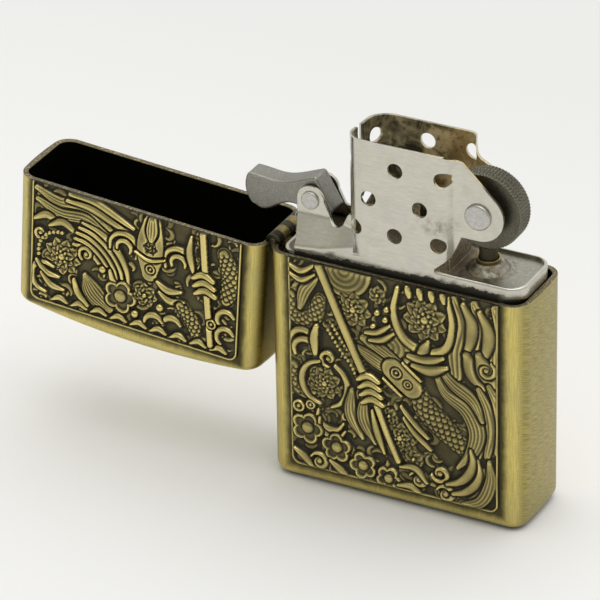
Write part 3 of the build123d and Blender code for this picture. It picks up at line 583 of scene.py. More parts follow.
    # clouds along the bottom, and scrolls rising at the right
    for k, (u, v) in enumerate(((2.6, 25.6), (7.0, 27.6), (11.0, 29.4), (14.8, 30.4))):
        plate.cloud(u, v, 2.2 - 0.15 * k, 5, 20 * k)
    for u, v, hand in ((19.4, 29.4, 1), (22.6, 27.6, -1), (23.4, 30.6, 1), (4.4, 30.4, 1)):
        plate.spiral(u, v, 1.4, 1.3, 200 * hand, 0.85, hand)
    repeat(plate.ridge, around(24.6, 27.0, 4.6, -20, 80), (-0.9, -1.3), 3, 0.6, 1.5, 0.7)
    plate.strands([(29.8, 24.0), (30.0, 27.0), (28.6, 30.4), (25.6, 31.8)], 0.8, 2.0, 0.8, 4)
    repeat(plate.ridge, [(16.6, 28.0), (18.8, 27.8), (20.6, 29.6)], (-0.4, 3.0), 2, 0.5, 1.1, 0.5)
    repeat(plate.ridge, [(0.6, 29.2), (2.4, 30.6), (3.6, 31.8)], (5.4, 0.6), 2, 0.5, 1.2, 0.5)
    staff(plate, [(13.0, 18.6), (14.6, 23.0), (16.4, 27.2)], 1.0)
    staff(plate, [(4.8, 0.2), (8.4, 8.6), (12.4, 17.4)], 1.25, 4, (12.0, 15.4))


def lid_design(plate):
    """Flowing locks on the left, a bell and arches in the middle, a staff on the right."""
    lock = [(0.8, 0.8), (4.4, 2.0), (8.6, 1.8), (12.6, 4.0)]
    repeat(plate.strands, lock, (0.2, 1.7), 2, 0.8, 1.9, 0.8, 4)
    repeat(plate.ridge, [(6.0, 0.3), (9.6, 0.4), (13.2, 1.6), (16.0, 2.6)], (-0.4, 1.1), 2, 0.6, 1.2, 0.6)
    repeat(plate.ridge, [(0.6, 5.6), (2.6, 4.6), (4.6, 5.6)], (2.4, 0.4), 2, 0.6, 1.3, 0.6)
    plate.spiral(1.6, 7.6, 1.1, 1.2, 0, 0.7)
    # mane of long locks round a full blossom
    for turn in range(5):
        line = around(7.2, 12.4, 4.6 + 0.95 * turn, -96 + 3 * turn, -12 + 2 * turn, 6)
        plate.ridge(line, 0.5, 1.15, 0.45)
    plate.spiral(8.8, 8.8, 1.2, 1.3, 120, 0.75)
    plate.flower(5.0, 10.4, 2.9, 9, 3, 0, 0.9)
    plate.beads(around(5.0, 10.4, 3.7, 170, 280, 7), 0.34)
    plate.ridge(around(2.6, 14.4, 2.3, 90, 300, 7), 0.5, 1.0, 0.5)
    repeat(plate.ridge, [(1.0, 12.0), (2.6, 13.6), (4.6, 13.8)], (0.8, 1.8), 2, 0.5, 1.1, 0.5)
    # sheaf and shell below
    plate.strands([(8.6, 12.2), (10.0, 14.6), (12.6, 16.4)], 0.8, 3.4, 1.4, 7)
    repeat(plate.ridge, [(7.0, 13.4), (7.6, 15.2), (9.2, 16.8)], (5.6, -3.2), 2, 0.7, 1.1, 0.7, 0.4, 0.85)
    # arches either side of the bell
    for radius in (1.1, 2.2):
        plate.ridge(around(14.6, 6.0, radius, 165, 390, 7), 0.5, 0.95, 0.5)
        plate.ridge(around(23.0, 5.8, radius, 150, 375, 7), 0.5, 0.95, 0.5)
    plate.ridge([(18.8, 1.0), (18.6, 4.4), (18.6, 8.8)], 2.8, 4.2, 2.4, 0.42, 0.72, 3)
    plate.strands([(18.9, 0.4), (18.8, 3.6)], 1.4, 1.9, 0.8, 4, 0.5, 0.9)
    plate.ridge([(16.4, 5.8), (18.6, 6.6), (21.0, 5.9)], 0.4, 0.6, 0.4, 0.6, 0.95)
    plate.ring(18.8, 8.0, 0.75)
    plate.flower(18.7, 4.7, 0.95, 6, 1, 0, 0.9)
    plate.cloud(14.2, 13.8, 2.3, 5, 0)
    plate.flower(18.0, 12.4, 1.9, 7, 2, 0, 0.88)
    repeat(plate.ridge, [(19.8, 9.6), (21.4, 10.6), (23.6, 10.2)], (0.4, 1.5), 2, 0.5, 1.2, 0.5)
    for u, v in ((16.6, 15.8), (20.4, 13.6), (21.0, 15.4), (11.4, 10.4)):
        plate.dome(u, v, 0.6)
    plate.scaled([(23.4, 12.4), (25.4, 14.4), (26.0, 16.6)], 1.4, 2.4, 1.4, 0.9)
    repeat(plate.ridge, around(22.4, 16.2, 1.5, 180, 330), (-2.8, 0.4), 2, 0.5, 1.1, 0.5)
    # scales and curls right of the staff
    plate.scaled([(29.8, 2.4), (31.0, 5.6), (30.4, 9.4)], 2.2, 3.0, 2.0, 1.0)
    repeat(plate.ridge, around(30.6, 12.4, 1.4, 120, 330), (0.0, 2.7), 2, 0.5, 1.0, 0.5)
    plate.ridge([(24.8, 1.2), (24.6, 3.8), (25.4, 6.6)], 0.6, 1.2, 0.6)
    # leaves along the lower edge
    for k in range(9):
        u = 3.6 + 3.1 * k
        plate.ridge([(u, 17.6), (u + 1.2, 17.0), (u + 2.4, 17.5)], 0.4, 1.0, 0.4)
    staff(plate, [(26.6, 0.2), (27.4, 8.0), (28.4, 16.8)], 1.1, 3, (26.9, 6.6))
    plate.ring(28.4, 13.6, 0.8)


# ---- Finishes -----------------------------------------------------------------
def closed_lid_place(s):
    """Where a point of the open lid lies when the lid is shut, in millimetres."""
    c, k = math.cos(LID_SWING), math.sin(LID_SWING)
    offset = s.vector("SUBTRACT", s.place, (HINGE.x, 0.0, HINGE.z))
    x = s.total(s.vector("DOT_PRODUCT", offset, (c, 0.0, k)), HINGE.x)
    z = s.total(s.vector("DOT_PRODUCT", offset, (-k, 0.0, c)), HINGE.z)
    return x, s.split(s.place)[1], z


def antique_brass(name, place, plate_half, plate_end, plate_side, inside, rim):
    """Brushed brass, darkened beside the plate, with painted shade on the side face and painted highlights on
    the edges; the inside is dark, and the cut rim is worn.

    The plate reaches plate_half either side of the middle and ends at the height plate_end; the side of
    that end where the brass begins is plate_side, 1 for above and -1 for below.
    """
    s = Shader(name)
    x, y, z = place(s)
    own = s.join(x, y, z)
    side_on = s.remap(s.absolute(x), 17.7, 18.5)
    upright = s.noise(1.0, s.stretch((9.0, 9.0, 0.35), own), 6.0, 0.65)
    slanting = s.join(0.0, y, s.total(z, s.product(y, 0.3)))
    level = s.noise(1.0, s.stretch((1.0, 0.55, 7.5), slanting), 6.0, 0.65)
    streak = s.blend(side_on, upright, level)
    grain = s.noise(14.0, own, 3.0, 0.7)
    cloud = s.noise(0.16, own, 3.0, 0.5)
    # A band beside the plate, darkest next to it and fading out over about a millimetre and a half.
    beyond = s.less(s.absolute(x), plate_half)
    past = s.product(s.less(z, plate_end), plate_side)
    gap = s.total(s.math("MAXIMUM", beyond, past), s.swing(s.noise(0.7, own, 3.0), 0.7))
    front = s.remap(y, -6.0, -6.3)
    shade = s.product(s.remap(gap, 1.45, 0.15, smooth=True), front)
    edge, rounded = s.edges(0.5)
    # The side face's tones are darker than the front's: painted shade, not a different brass.
    bright = s.mix(side_on, (0.80, 0.66, 0.20), (0.49, 0.405, 0.13))
    middle = s.mix(side_on, (0.50, 0.41, 0.13), (0.19, 0.16, 0.052))
    colour = s.mix(s.remap(streak, 0.36, 0.62), middle, bright)
    colour = s.mix(s.remap(grain, 0.42, 0.6, 0.0, 0.35), colour, (0.29, 0.255, 0.12))
    colour = s.mix(s.remap(cloud, 0.35, 0.7, 0.0, 0.3), colour, (0.36, 0.33, 0.17))
    # Brighter brass on the edges and corners is a painted highlight.
    colour = s.mix(s.product(edge, 0.5), colour, (0.80, 0.67, 0.28))
    colour = s.mix(s.product(shade, 0.9), colour, (0.035, 0.032, 0.022))
    rough = s.total(s.blend(streak, 0.30, 0.44), s.product(shade, 0.22))
    within = inside(s, x, y, z)
    soot = s.mix(s.noise(2.0, own, 4.0), (0.004, 0.004, 0.004), (0.012, 0.011, 0.009))
    colour = s.mix(within, colour, soot)
    rough = s.blend(within, rough, 0.62)
    cut = rim(s, z)
    speck = s.remap(s.noise(3.2, own, 5.0, 0.75), 0.52, 0.66)
    raw = s.mix(speck, (0.15, 0.125, 0.075), (0.62, 0.53, 0.31))
    colour = s.mix(cut, colour, raw)
    rough = s.blend(cut, rough, 0.42)
    normal = s.bump(s.total(streak, s.product(grain, 0.5)), 0.03, 0.6, rounded)
    return s.finish(colour, 1.0, rough, normal)


def within_walls(s, x, y):
    """Inside the rounded cavity of the case or lid."""
    dx = s.math("MAXIMUM", s.less(s.absolute(x), CAVITY_FLAT[0]), 0.0)
    dy = s.math("MAXIMUM", s.less(s.absolute(y), CAVITY_FLAT[1]), 0.0)
    return s.remap(s.vector("LENGTH", s.join(dx, dy, 0.0)), 2.08, 2.0)


def within_case(s, x, y, z):
    return s.product(within_walls(s, x, y), s.remap(z, 34.36, 34.3))


def within_lid(s, x, y, z):
    crown = s.less(LID_CAVITY_TOP, s.product(x, x, LID_CROWN / HALF_WIDTH ** 2))
    top = s.remap(s.less(crown, z), 0.0, 0.1)
    return s.product(within_walls(s, x, y), top, s.remap(z, 34.5, 34.56))


def relief_brass():
    """Cast brass: black patina in the hollows, rubbed bright on what stands out, with painted highlights
    along narrow ridges and edges.
    """
    s = Shader("relief_brass")
    relief = s.add("ShaderNodeAttribute", attribute_name="relief").outputs["Color"]
    height, cavity, ridge = s.split(relief)
    grain = s.noise(9.0, detail=4.0, roughness=0.7)
    patch = s.noise(0.28, detail=3.0)
    # ridge (the fine cavity) brightens narrow ridges and edges as a painted highlight; height and cavity give
    # the patina and the rubbed tops.
    stand = s.total(
        s.remap(height, 0.2, 0.9, 0.0, 0.42), s.remap(cavity, 0.3, 0.7, 0.0, 0.5),
        s.remap(ridge, 0.44, 0.62, -0.1, 0.5), s.swing(grain, 0.4), s.swing(patch, 0.35),
    )
    colour = s.mix(s.remap(stand, 0.2, 0.75), (0.04, 0.037, 0.027), (0.235, 0.198, 0.082))
    colour = s.mix(s.remap(stand, 0.7, 1.18), colour, (0.74, 0.615, 0.235))
    rough = s.remap(stand, 0.3, 1.1, 0.5, 0.22)
    normal = s.bump(grain, 0.02, 0.4)
    return s.finish(colour, 1.0, rough, normal)


def stainless():
    """Pressed steel of the insert: satin, heat-stained inside the windscreen, a soot line low down."""
    s = Shader("stainless")
    x, y, z = s.split(s.place)
    satin = s.noise(1.0, s.stretch((0.9, 0.9, 8.0)), 5.0, 0.6)
    fine = s.noise(22.0, detail=2.0)
    smear = s.noise(0.35, detail=4.0, roughness=0.6, distortion=0.6)
    edge, rounded = s.edges(0.14)
    colour = s.mix(s.remap(satin, 0.3, 0.7), (0.53, 0.51, 0.435), (0.65, 0.63, 0.545))
    colour = s.mix(s.remap(smear, 0.48, 0.7, 0.0, 0.4), colour, (0.50, 0.47, 0.40))
    tint = s.noise(0.22, s.vector("ADD", s.place, (9.0, 4.0, 2.0)), 3.0)
    colour = s.mix(s.remap(tint, 0.55, 0.75, 0.0, 0.2), colour, (0.44, 0.47, 0.56))
    rough = s.blend(smear, 0.17, 0.33)
    # inside of the windscreen: within its round left end and its walls, which come closer by the wheel
    left = s.math("MINIMUM", s.total(x, 4.9), 0.0)
    outward = s.math("MAXIMUM", s.less(s.absolute(y), 2.1), 0.0)
    round_end = s.remap(s.vector("LENGTH", s.join(left, outward, 0.0)), 2.82, 2.76)
    wall_y = s.remap(x, 6.45, 8.2, 4.84, 2.91)
    flat_walls = s.remap(s.less(s.absolute(y), wall_y), 0.02, -0.03)
    inside = s.product(round_end, flat_walls, s.remap(z, 35.7, 35.9), s.remap(x, 12.0, 11.0))
    blotch = s.noise(0.32, detail=5.0, roughness=0.6, distortion=1.2)
    amber = s.mix(s.remap(blotch, 0.38, 0.58), (0.50, 0.36, 0.14), (0.86, 0.68, 0.36))
    burnt = s.mix(s.remap(blotch, 0.42, 0.62), (0.05, 0.045, 0.022), (0.50, 0.42, 0.24))
    heat = s.mix(s.remap(s.total(x, s.swing(blotch, 12.0)), -2.0, 3.5), burnt, amber)
    heat = s.mix(s.remap(s.noise(1.8, detail=4.0), 0.58, 0.75), heat, (0.02, 0.016, 0.011))
    colour = s.mix(s.product(inside, 0.96), colour, heat)
    rough = s.blend(inside, rough, 0.26)
    # ragged soot line on the sleeve above the case
    wave = s.noise(0.33, s.join(x, 0.0, 0.0), 2.0, 0.5)
    ragged = s.noise(2.4, detail=5.0, roughness=0.7)
    top = s.total(
        s.remap(wave, 0.3, 0.7, -0.35, 0.35), s.swing(ragged, 1.3), s.remap(x, -14.0, 3.0, 34.75, 35.3),
    )
    band = s.product(
        s.remap(s.less(top, z), 0.0, 0.12), s.remap(s.absolute(y), 4.4, 4.6),
        s.remap(z, 33.0, 33.4), s.remap(x, 15.9, 14.6),
    )
    soot = s.mix(ragged, (0.012, 0.011, 0.009), (0.075, 0.068, 0.05))
    colour = s.mix(s.product(band, 0.93), colour, soot)
    rough = s.blend(band, rough, 0.6)
    # smudge above the lower right vent
    spot = s.vector("DISTANCE", s.stretch((0.8, 0.0, 1.3)), (4.6, 0.0, 56.0))
    speckle = s.remap(s.noise(1.1, detail=5.0, roughness=0.7), 0.4, 0.65)
    smudge = s.product(s.remap(spot, 2.6, 0.4), speckle, 0.7)
    colour = s.mix(smudge, colour, (0.09, 0.075, 0.055))
    # Brighter on the edges: a painted highlight.
    colour = s.mix(s.product(edge, 0.55), colour, (0.86, 0.85, 0.80))
    normal = s.bump(s.total(satin, s.product(fine, 0.5)), 0.01, 0.25, rounded)
    metal = s.less(1.0, s.product(inside, 0.5))
    return s.finish(colour, metal, rough, normal)


def deck_steel():
    """Steel of the insert's top plate: dull, with brown crust by the web and the flint tube."""
    s = Shader("deck_steel")
    x, y, z = s.split(s.place)
    satin = s.noise(3.0, detail=5.0, roughness=0.6)
    edge, rounded = s.edges(0.2)
    colour = s.mix(s.remap(satin, 0.35, 0.65), (0.31, 0.30, 0.245), (0.43, 0.42, 0.35))
    # Concentric darker rings round the tube: painted shade on the dimple.
    from_tube = s.vector("LENGTH", s.join(s.less(x, TUBE_X), y, 0.0))
    ripple = s.math("SINE", s.product(from_tube, 9.0))
    rings = s.product(s.remap(ripple, -0.3, 1.0), s.remap(from_tube, 4.4, 3.0), 0.55)
    colour = s.mix(rings, colour, (0.20, 0.18, 0.13))
    crust = s.noise(0.85, detail=6.0, roughness=0.72, distortion=0.4)
    near = s.total(
        s.remap(from_tube, 5.0, 2.2, 0.0, 0.16), s.remap(x, 8.6, 6.6, 0.0, 0.26),
        s.remap(y, 1.0, -4.6, -0.03, 0.05),
    )
    dirt = s.remap(s.total(crust, near), 0.6, 0.74)
    speckle = s.remap(s.noise(4.0, detail=5.0, roughness=0.7), 0.38, 0.62)
    brown = s.mix(speckle, (0.07, 0.054, 0.032), (0.40, 0.32, 0.19))
    colour = s.mix(s.product(dirt, 0.9), colour, brown)
    # Brighter on the edges: a painted highlight.
    colour = s.mix(s.product(edge, 0.6), colour, (0.80, 0.78, 0.72))
    rough = s.total(s.blend(satin, 0.30, 0.42), s.product(dirt, 0.28))
    metal = s.less(1.0, s.product(dirt, 0.5))
    normal = s.bump(s.total(s.product(satin, 0.4), s.product(dirt, crust)), 0.012, 0.4, rounded)
    return s.finish(colour, metal, rough, normal)


def tumbled(name, dark, light, bright, rough_low, rough_high, scale, edge_reach=0.18):
    """Steel with an even tumbled grain, and edges lighter from rubbed wear and a painted highlight."""
    s = Shader(name)
    grain = s.noise(scale, detail=6.0, roughness=0.7)
    patch = s.noise(0.5, detail=4.0)
    edge, rounded = s.edges(edge_reach)
    colour = s.mix(s.remap(grain, 0.36, 0.64), dark, light)
    colour = s.mix(s.remap(patch, 0.4, 0.7, 0.0, 0.35), colour, dark)
    # Lighter edges: rubbed wear, together with a painted highlight such as the wheel's bright tooth tops.
    wear_and_highlight = s.product(edge, s.remap(patch, 0.25, 0.6, 0.6, 1.0))
    colour = s.mix(s.product(wear_and_highlight, 0.8), colour, bright)
    rough = s.less(s.blend(grain, rough_low, rough_high), s.product(edge, 0.1))
    return s.finish(colour, 1.0, rough, s.bump(grain, 0.015, 0.45, rounded))


def worn_brass(name, dark, light):
    """Small brass parts: dull and a little stained."""
    s = Shader(name)
    grain = s.noise(5.0, detail=5.0, roughness=0.65)
    stain = s.noise(0.9, detail=5.0, roughness=0.6)
    edge, rounded = s.edges(0.12)
    colour = s.mix(s.remap(grain, 0.35, 0.65), dark, light)
    colour = s.mix(s.remap(stain, 0.5, 0.68, 0.0, 0.75), colour, (0.07, 0.055, 0.025))
    # Brighter on the edges: a painted highlight.
    colour = s.mix(s.product(edge, 0.5), colour, (0.78, 0.66, 0.34))
    rough = s.blend(stain, 0.28, 0.46)
    return s.finish(colour, 1.0, rough, s.bump(grain, 0.012, 0.4, rounded))


def flint_alloy():
    s = Shader("flint_alloy")
    grain = s.noise(7.0, detail=5.0, roughness=0.7)
    colour = s.mix(grain, (0.025, 0.022, 0.016), (0.15, 0.125, 0.08))
    return s.finish(colour, 0.8, s.blend(grain, 0.5, 0.7), s.bump(grain, 0.03, 0.6))


def dress_metal():
    case_brass = antique_brass(
        "case_brass", lambda s: s.split(s.place), 15.55, 2.6, -1.0, within_case,
        lambda s, z: s.remap(z, 34.37, 34.39),
    )
    lid_brass = antique_brass(
        "lid_brass", closed_lid_place, 16.2, 53.0, 1.0, within_lid,
        lambda s, z: s.remap(z, 34.51, 34.48),
    )
    wear(case_brass, "case_body")
    wear(lid_brass, "case_lid")
    wear(stainless(), "insert_shell")
    wear(deck_steel(), "insert_deck")
    cast = tumbled(
        "cam_cast", (0.20, 0.197, 0.17), (0.37, 0.36, 0.315), (0.90, 0.87, 0.79), 0.34, 0.5, 5.0, 0.25,
    )
    wear(cast, "cam_lever")
    rivet = tumbled(
        "rivet_steel", (0.42, 0.41, 0.385), (0.60, 0.59, 0.56), (0.8, 0.79, 0.76), 0.22, 0.34, 3.0,
    )
    wear(rivet, "cam_rivet", "wheel_rivet", "cam_spring_rivet")
    spring = tumbled(
        "spring_steel", (0.30, 0.30, 0.30), (0.48, 0.48, 0.47), (0.7, 0.7, 0.68), 0.25, 0.38, 6.0,
    )
    wear(spring, "cam_spring", "flint_spring")
    wheel = tumbled(
        "wheel_steel", (0.08, 0.075, 0.056), (0.18, 0.168, 0.125), (0.52, 0.49, 0.37), 0.34, 0.5, 4.5, 0.14,
    )
    wear(wheel, "flint_wheel")
    dark_hinge = tumbled(
        "hinge_steel", (0.035, 0.03, 0.02), (0.09, 0.078, 0.05), (0.34, 0.29, 0.17), 0.38, 0.52, 4.0,
    )
    wear(dark_hinge, "hinge_leaf_lid", "hinge_pin")
    wear(worn_brass("hinge_brass", (0.20, 0.155, 0.055), (0.36, 0.29, 0.11)), "hinge_leaf_body")
    tube = worn_brass("tube_brass", (0.26, 0.21, 0.08), (0.44, 0.36, 0.15))
    wear(tube, "flint_tube", "spring_tip", "spring_screw")
    wear(flint_alloy(), "flint")


# ---- Relief plates -----------------------------------------------------------
CASE_PITCH = 0.103
LID_PITCH = 0.08
LID_PLATE_WIDTH = 32.4
LID_PLATE_HEIGHT = 18.54
LID_PLATE_RIM = 34.46
PLATE_CORNER = 1.4
BORDER_WIDTH = 0.4
BORDER_RISE = 0.5
RELIEF_TOP = 0.9
SKIRT = -0.1
WIDE_CAVITY = 0.42
FINE_CAVITY = 0.2
SKIRT_SHADE = 0.4


def new_piece(name, points, faces, material):
    mesh = bpy.data.meshes.new(name)
    mesh.from_pydata([Vector(p) for p in points], [], faces)
    mesh.update()
    for face in mesh.polygons:
        face.use_smooth = True
    mesh.materials.append(material)
    piece = bpy.data.objects.new(name, mesh)
    bpy.context.scene.collection.objects.link(piece)
    return piece


def stand_in(piece, body, node):
    """Puts a piece on the body it rides on, and hides the CAD node it stands for."""
    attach(piece, body)
    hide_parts(node)


def plate_faces(rows, columns):
    """Faces of a closed plate: its front, its sides and a fan at the back; and its edge, as indices."""
    index = np.arange(rows * columns).reshape(rows, columns)
    ring = np.concatenate((index[0], index[1:, -1], index[-1, -2::-1], index[-2:0:-1, 0]))
    front = np.stack((index[:-1, :-1], index[1:, :-1], index[1:, 1:], index[:-1, 1:]), -1).reshape(-1, 4)
    low = rows * columns + np.arange(len(ring))
    after = np.roll(np.arange(len(ring)), -1)
    sides = np.stack((ring, ring[after], low[after], low), 1)
    heart = rows * columns + len(ring)
    back = [(int(a), int(b), heart) for a, b in zip(low, low[after])]
    return front.tolist() + sides.tolist() + back, ring


def paint_relief(mesh, relief):
    """Stores each point's height and how it stands above its surroundings, for the finish to read."""
    count = relief.field.size
    marks = np.zeros((len(mesh.vertices), 4), np.float32)
    marks[:count, 0] = np.clip(relief.field.ravel() / RELIEF_TOP, 0, 1)
    marks[:count, 1] = np.clip(relief.cavity(WIDE_CAVITY).ravel() + 0.5, 0, 1)
    marks[:count, 2] = np.clip(relief.cavity(FINE_CAVITY).ravel() + 0.5, 0, 1)
    marks[count:, 1] = SKIRT_SHADE
    marks[:, 3] = 1.0
    attribute = mesh.attributes.new("relief", "FLOAT_COLOR", "POINT")
    attribute.data.foreach_set("color", marks.ravel())


def relief_piece(name, relief, place, material):
    """Closed plate from a height field; place turns (u, v, height) in millimetres into a point."""
    faces, ring = plate_faces(*relief.field.shape)
    u, v, h = relief.u.ravel(), relief.v.ravel(), relief.field.ravel()
    points = np.concatenate((
        np.stack((u, v, h), 1),
        np.stack((u[ring], v[ring], np.full(len(ring), SKIRT)), 1),
        np.array([(relief.width / 2, relief.height / 2, SKIRT)]),
    ))
    piece = new_piece(name, place(points), faces, material)
    work = bmesh.new()
    work.from_mesh(piece.data)
    bmesh.ops.recalc_face_normals(work, faces=work.faces)
    work.to_mesh(piece.data)
    work.free()
    paint_relief(piece.data, relief)
    return piece


def draw_plate(width, height, pitch, seed, fillers, design):
    relief = Relief(width, height, pitch, seed)
    relief.filler(fillers)
    design(relief)
    relief.border(PLATE_CORNER, BORDER_WIDTH, BORDER_RISE)
    relief.soften()
    return relief


def case_plate(material):
    low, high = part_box("body_relief_plate")

    def place(p):
        return np.stack((low.x + p[:, 0] * MM, high.y - p[:, 2] * MM, high.z - p[:, 1] * MM), 1)

    relief = draw_plate((high.x - low.x) / MM, (high.z - low.z) / MM, CASE_PITCH, 3, 260, case_design)
    piece = relief_piece("case_relief", relief, place, material)
    stand_in(piece, "case", "body_relief_plate")


def lid_plate(material):
    """The lid's plate is placed as if the lid were shut, and then swung open about the hinge."""
    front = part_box("lid_relief_plate")[1].y
    c, k = math.cos(LID_SWING), math.sin(LID_SWING)

    def place(p):
        x = LID_PLATE_WIDTH / 2 - p[:, 0] - HINGE.x
        z = LID_PLATE_RIM + p[:, 1] - HINGE.z
        across, up = c * x - k * z + HINGE.x, k * x + c * z + HINGE.z
        return np.stack((across * MM, front - p[:, 2] * MM, up * MM), 1)

    relief = draw_plate(LID_PLATE_WIDTH, LID_PLATE_HEIGHT, LID_PITCH, 4, 160, lid_design)
    piece = relief_piece("lid_relief", relief, place, material)
    stand_in(piece, "lid", "lid_relief_plate")


# ---- Wick --------------------------------------------------------------------
WICK_BEND = 3.0
WICK_SIDES = 56
BRAID_STRANDS = 8
BRAID_PITCH = 1.9
STRAND_DIP = 0.35
PLY_RISE = 0.04
BURNT_LENGTH = 2.0
FRAY_COUNT = 90
FRAY_RADIUS = 0.05
FIBRE_RADIUS = 0.022


def tube_faces(rows, sides):
    """Faces of a tube of rings: its wall, without its ends."""
    return [
        (r * sides + k, r * sides + (k + 1) % sides, (r + 1) * sides + (k + 1) % sides, (r + 1) * sides + k)
        for r in range(rows - 1) for k in range(sides)
    ]


def thread(path, radius, taper):
    """Points and faces of a thin three-sided strand along a path."""
    sides = 3
    path = np.array(path, float)
    along = np.gradient(path, axis=0)
    along /= np.maximum(np.linalg.norm(along, axis=1, keepdims=True), 1e-12)
    first = np.cross(along, (0.31, 0.77, 0.55))
    first /= np.maximum(np.linalg.norm(first, axis=1, keepdims=True), 1e-12)
    second = np.cross(along, first)
    width = radius * np.linspace(1, taper, len(path))[:, None]
    turns = [2 * math.pi * k / sides for k in range(sides)]
    points = [path + width * (math.cos(a) * first + math.sin(a) * second) for a in turns]
    faces = tube_faces(len(path), sides)
    faces.append(tuple(range(sides)))
    faces.append(tuple((len(path) - 1) * sides + k for k in reversed(range(sides))))
    return np.stack(points, 1).reshape(-1, 3), faces


def gather(parts):
    """Joins several (points, faces) into one."""
    points, faces, start = [], [], 0
    for some, their in parts:
        points.append(some)
        faces.extend(tuple(i + start for i in face) for face in their)
        start += len(some)
    return np.concatenate(points), faces


def wick_path():
    """Centre line of the wick: straight down, then round under the cotton."""
    low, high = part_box("wick")
    radius = (high.y - low.y) / 2
    x, y = high.x - radius, (low.y + high.y) / 2
    foot = low.z + radius
    bend = WICK_BEND * MM
    down = [(x, y, z) for z in np.linspace(high.z, foot + bend, 330)]
    turn = [
        (x - bend + bend * math.cos(a), y, foot + bend - bend * math.sin(a))
        for a in np.linspace(0, math.pi / 2, 42)[1:]
    ]
    along = [(a, y, foot) for a in np.linspace(x - bend, low.x, 90)[1:]]
    return np.array(down + turn + along), radius


def braid(path, radius):
    """Points and faces of a braided tube: strands that wind both ways and pass over and under."""
    run = np.r_[0, np.cumsum(np.linalg.norm(np.diff(path, axis=0), axis=1))] / MM
    along = np.gradient(path, axis=0)
    along /= np.linalg.norm(along, axis=1, keepdims=True)
    side = np.tile((0.0, 1.0, 0.0), (len(path), 1))
    over = np.cross(along, side)
    a, s = np.meshgrid(np.linspace(0, 2 * math.pi, WICK_SIDES, endpoint=False), run)
    one = a * BRAID_STRANDS / (2 * math.pi) + s / BRAID_PITCH * 2
    two = a * BRAID_STRANDS / (2 * math.pi) - s / BRAID_PITCH * 2
    first = np.abs(np.cos(one * math.pi))
    other = np.abs(np.cos(two * math.pi))
    above = np.mod(np.floor(one + 0.5) + np.floor(two + 0.5), 2) < 1
    weave = np.where(above, np.maximum(first, other - STRAND_DIP), np.maximum(other, first - STRAND_DIP))
    ply_one = PLY_RISE * np.sin((one * 5 + s * 2.2) * 2 * math.pi) * above
    ply_two = PLY_RISE * np.sin((two * 5 - s * 2.2) * 2 * math.pi) * ~above
    burnt = np.clip(1 - s / BURNT_LENGTH, 0, 1)
    r = radius * (0.82 + 0.16 * weave + 0.5 * (ply_one + ply_two) * (1 - burnt)) * (1 - 0.12 * burnt)
    points = path[:, None, :] + r[..., None] * (
        np.cos(a)[..., None] * side[:, None, :] + np.sin(a)[..., None] * over[:, None, :]
    )
    faces = tube_faces(len(path), WICK_SIDES)
    faces.append(tuple(reversed(range(WICK_SIDES))))
    faces.append(tuple((len(path) - 1) * WICK_SIDES + k for k in range(WICK_SIDES)))
    return points.reshape(-1, 3), faces


def wick(material):
    """Braid with a burnt, frayed end."""
    path, radius = wick_path()
    parts = [braid(path, radius)]
    random = np.random.default_rng(11)
    for _ in range(FRAY_COUNT):
        a = random.uniform(0, 2 * math.pi)
        r = radius * math.sqrt(random.uniform(0, 1)) * 0.85
        start = path[0] + np.array((r * math.cos(a), r * math.sin(a), -0.4 * MM))
        lean = np.array((math.cos(a), math.sin(a), 0.0)) * random.uniform(0.0, 0.25) * MM
        rise = random.uniform(0.3, 0.4) * MM
        line = [start + lean * t * t + np.array((0, 0, rise * t)) for t in np.linspace(0, 1, 5)]
        parts.append(thread(line, FRAY_RADIUS * MM, 0.3))
    stand_in(new_piece("wick_braid", *gather(parts), material), "insert", "wick")


# ---- Cotton and felt -----------------------------------------------------------
def slumped(node, name, cell, lumps, depth):
    """A CAD block's shape rebuilt in fine cells, slumped and dented; lumps are (size, share) pairs."""
    piece = bpy.data.objects.new(name, NODES[node].data.copy())
    bpy.context.scene.collection.objects.link(piece)
    piece.data.materials.clear()
    remesh = piece.modifiers.new("fine", "REMESH")
    remesh.mode = "VOXEL"
    remesh.voxel_size = cell * MM
    slump = piece.modifiers.new("slump", "SMOOTH")
    slump.iterations = 6
    slump.factor = 0.6
    for size, share in lumps:
        texture = bpy.data.textures.new(f"{name}_{size}", "CLOUDS")
        texture.noise_scale = size * MM
        texture.noise_depth = 2
        dent = piece.modifiers.new("dent", "DISPLACE")
        dent.texture = texture
        dent.texture_coords = "LOCAL"
        dent.strength = depth * share * MM
        dent.mid_level = 1.0
    bpy.context.view_layer.update()
    shaped = bpy.data.meshes.new_from_object(piece.evaluated_get(bpy.context.evaluated_depsgraph_get()))
    bpy.data.objects.remove(piece)
    return shaped


def fibres(node, points, normals, count, reach, seed):
    """Loose fibres lying on a pad, kept inside its CAD block's box."""
    random = np.random.default_rng(seed)
    low, high = (np.array(c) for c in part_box(node))
    for _ in range(count):
        at = random.integers(len(points))
        normal = normals[at]
        side = np.cross(normal, random.normal(size=3))
        side /= max(np.linalg.norm(side), 1e-9)
        length = reach * random.uniform(0.5, 1.3) * MM
        line = [
            points[at] + side * length * t + normal * (math.sin(t * math.pi) * 0.28 - 0.04) * length * 0.5
            for t in np.linspace(0, 1, 6)
        ]
        yield thread(np.clip(line, low, high), FIBRE_RADIUS * MM, 0.5)


def soft_block(node, name, cell, lumps, depth, hairs, reach, seed, material):
    """Soft pad made from a CAD block: slumped, dented and covered in loose fibres."""
    shaped = slumped(node, name, cell, lumps, depth)
    points = np.array([v.co for v in shaped.vertices], float)
    normals = np.array([v.normal for v in shaped.vertices], float)
    faces = [tuple(face.vertices) for face in shaped.polygons]
    parts = [(points, faces), *fibres(node, points, normals, hairs, reach, seed)]
    piece = new_piece(name, *gather(parts), material)
    stand_in(piece, "insert", node)


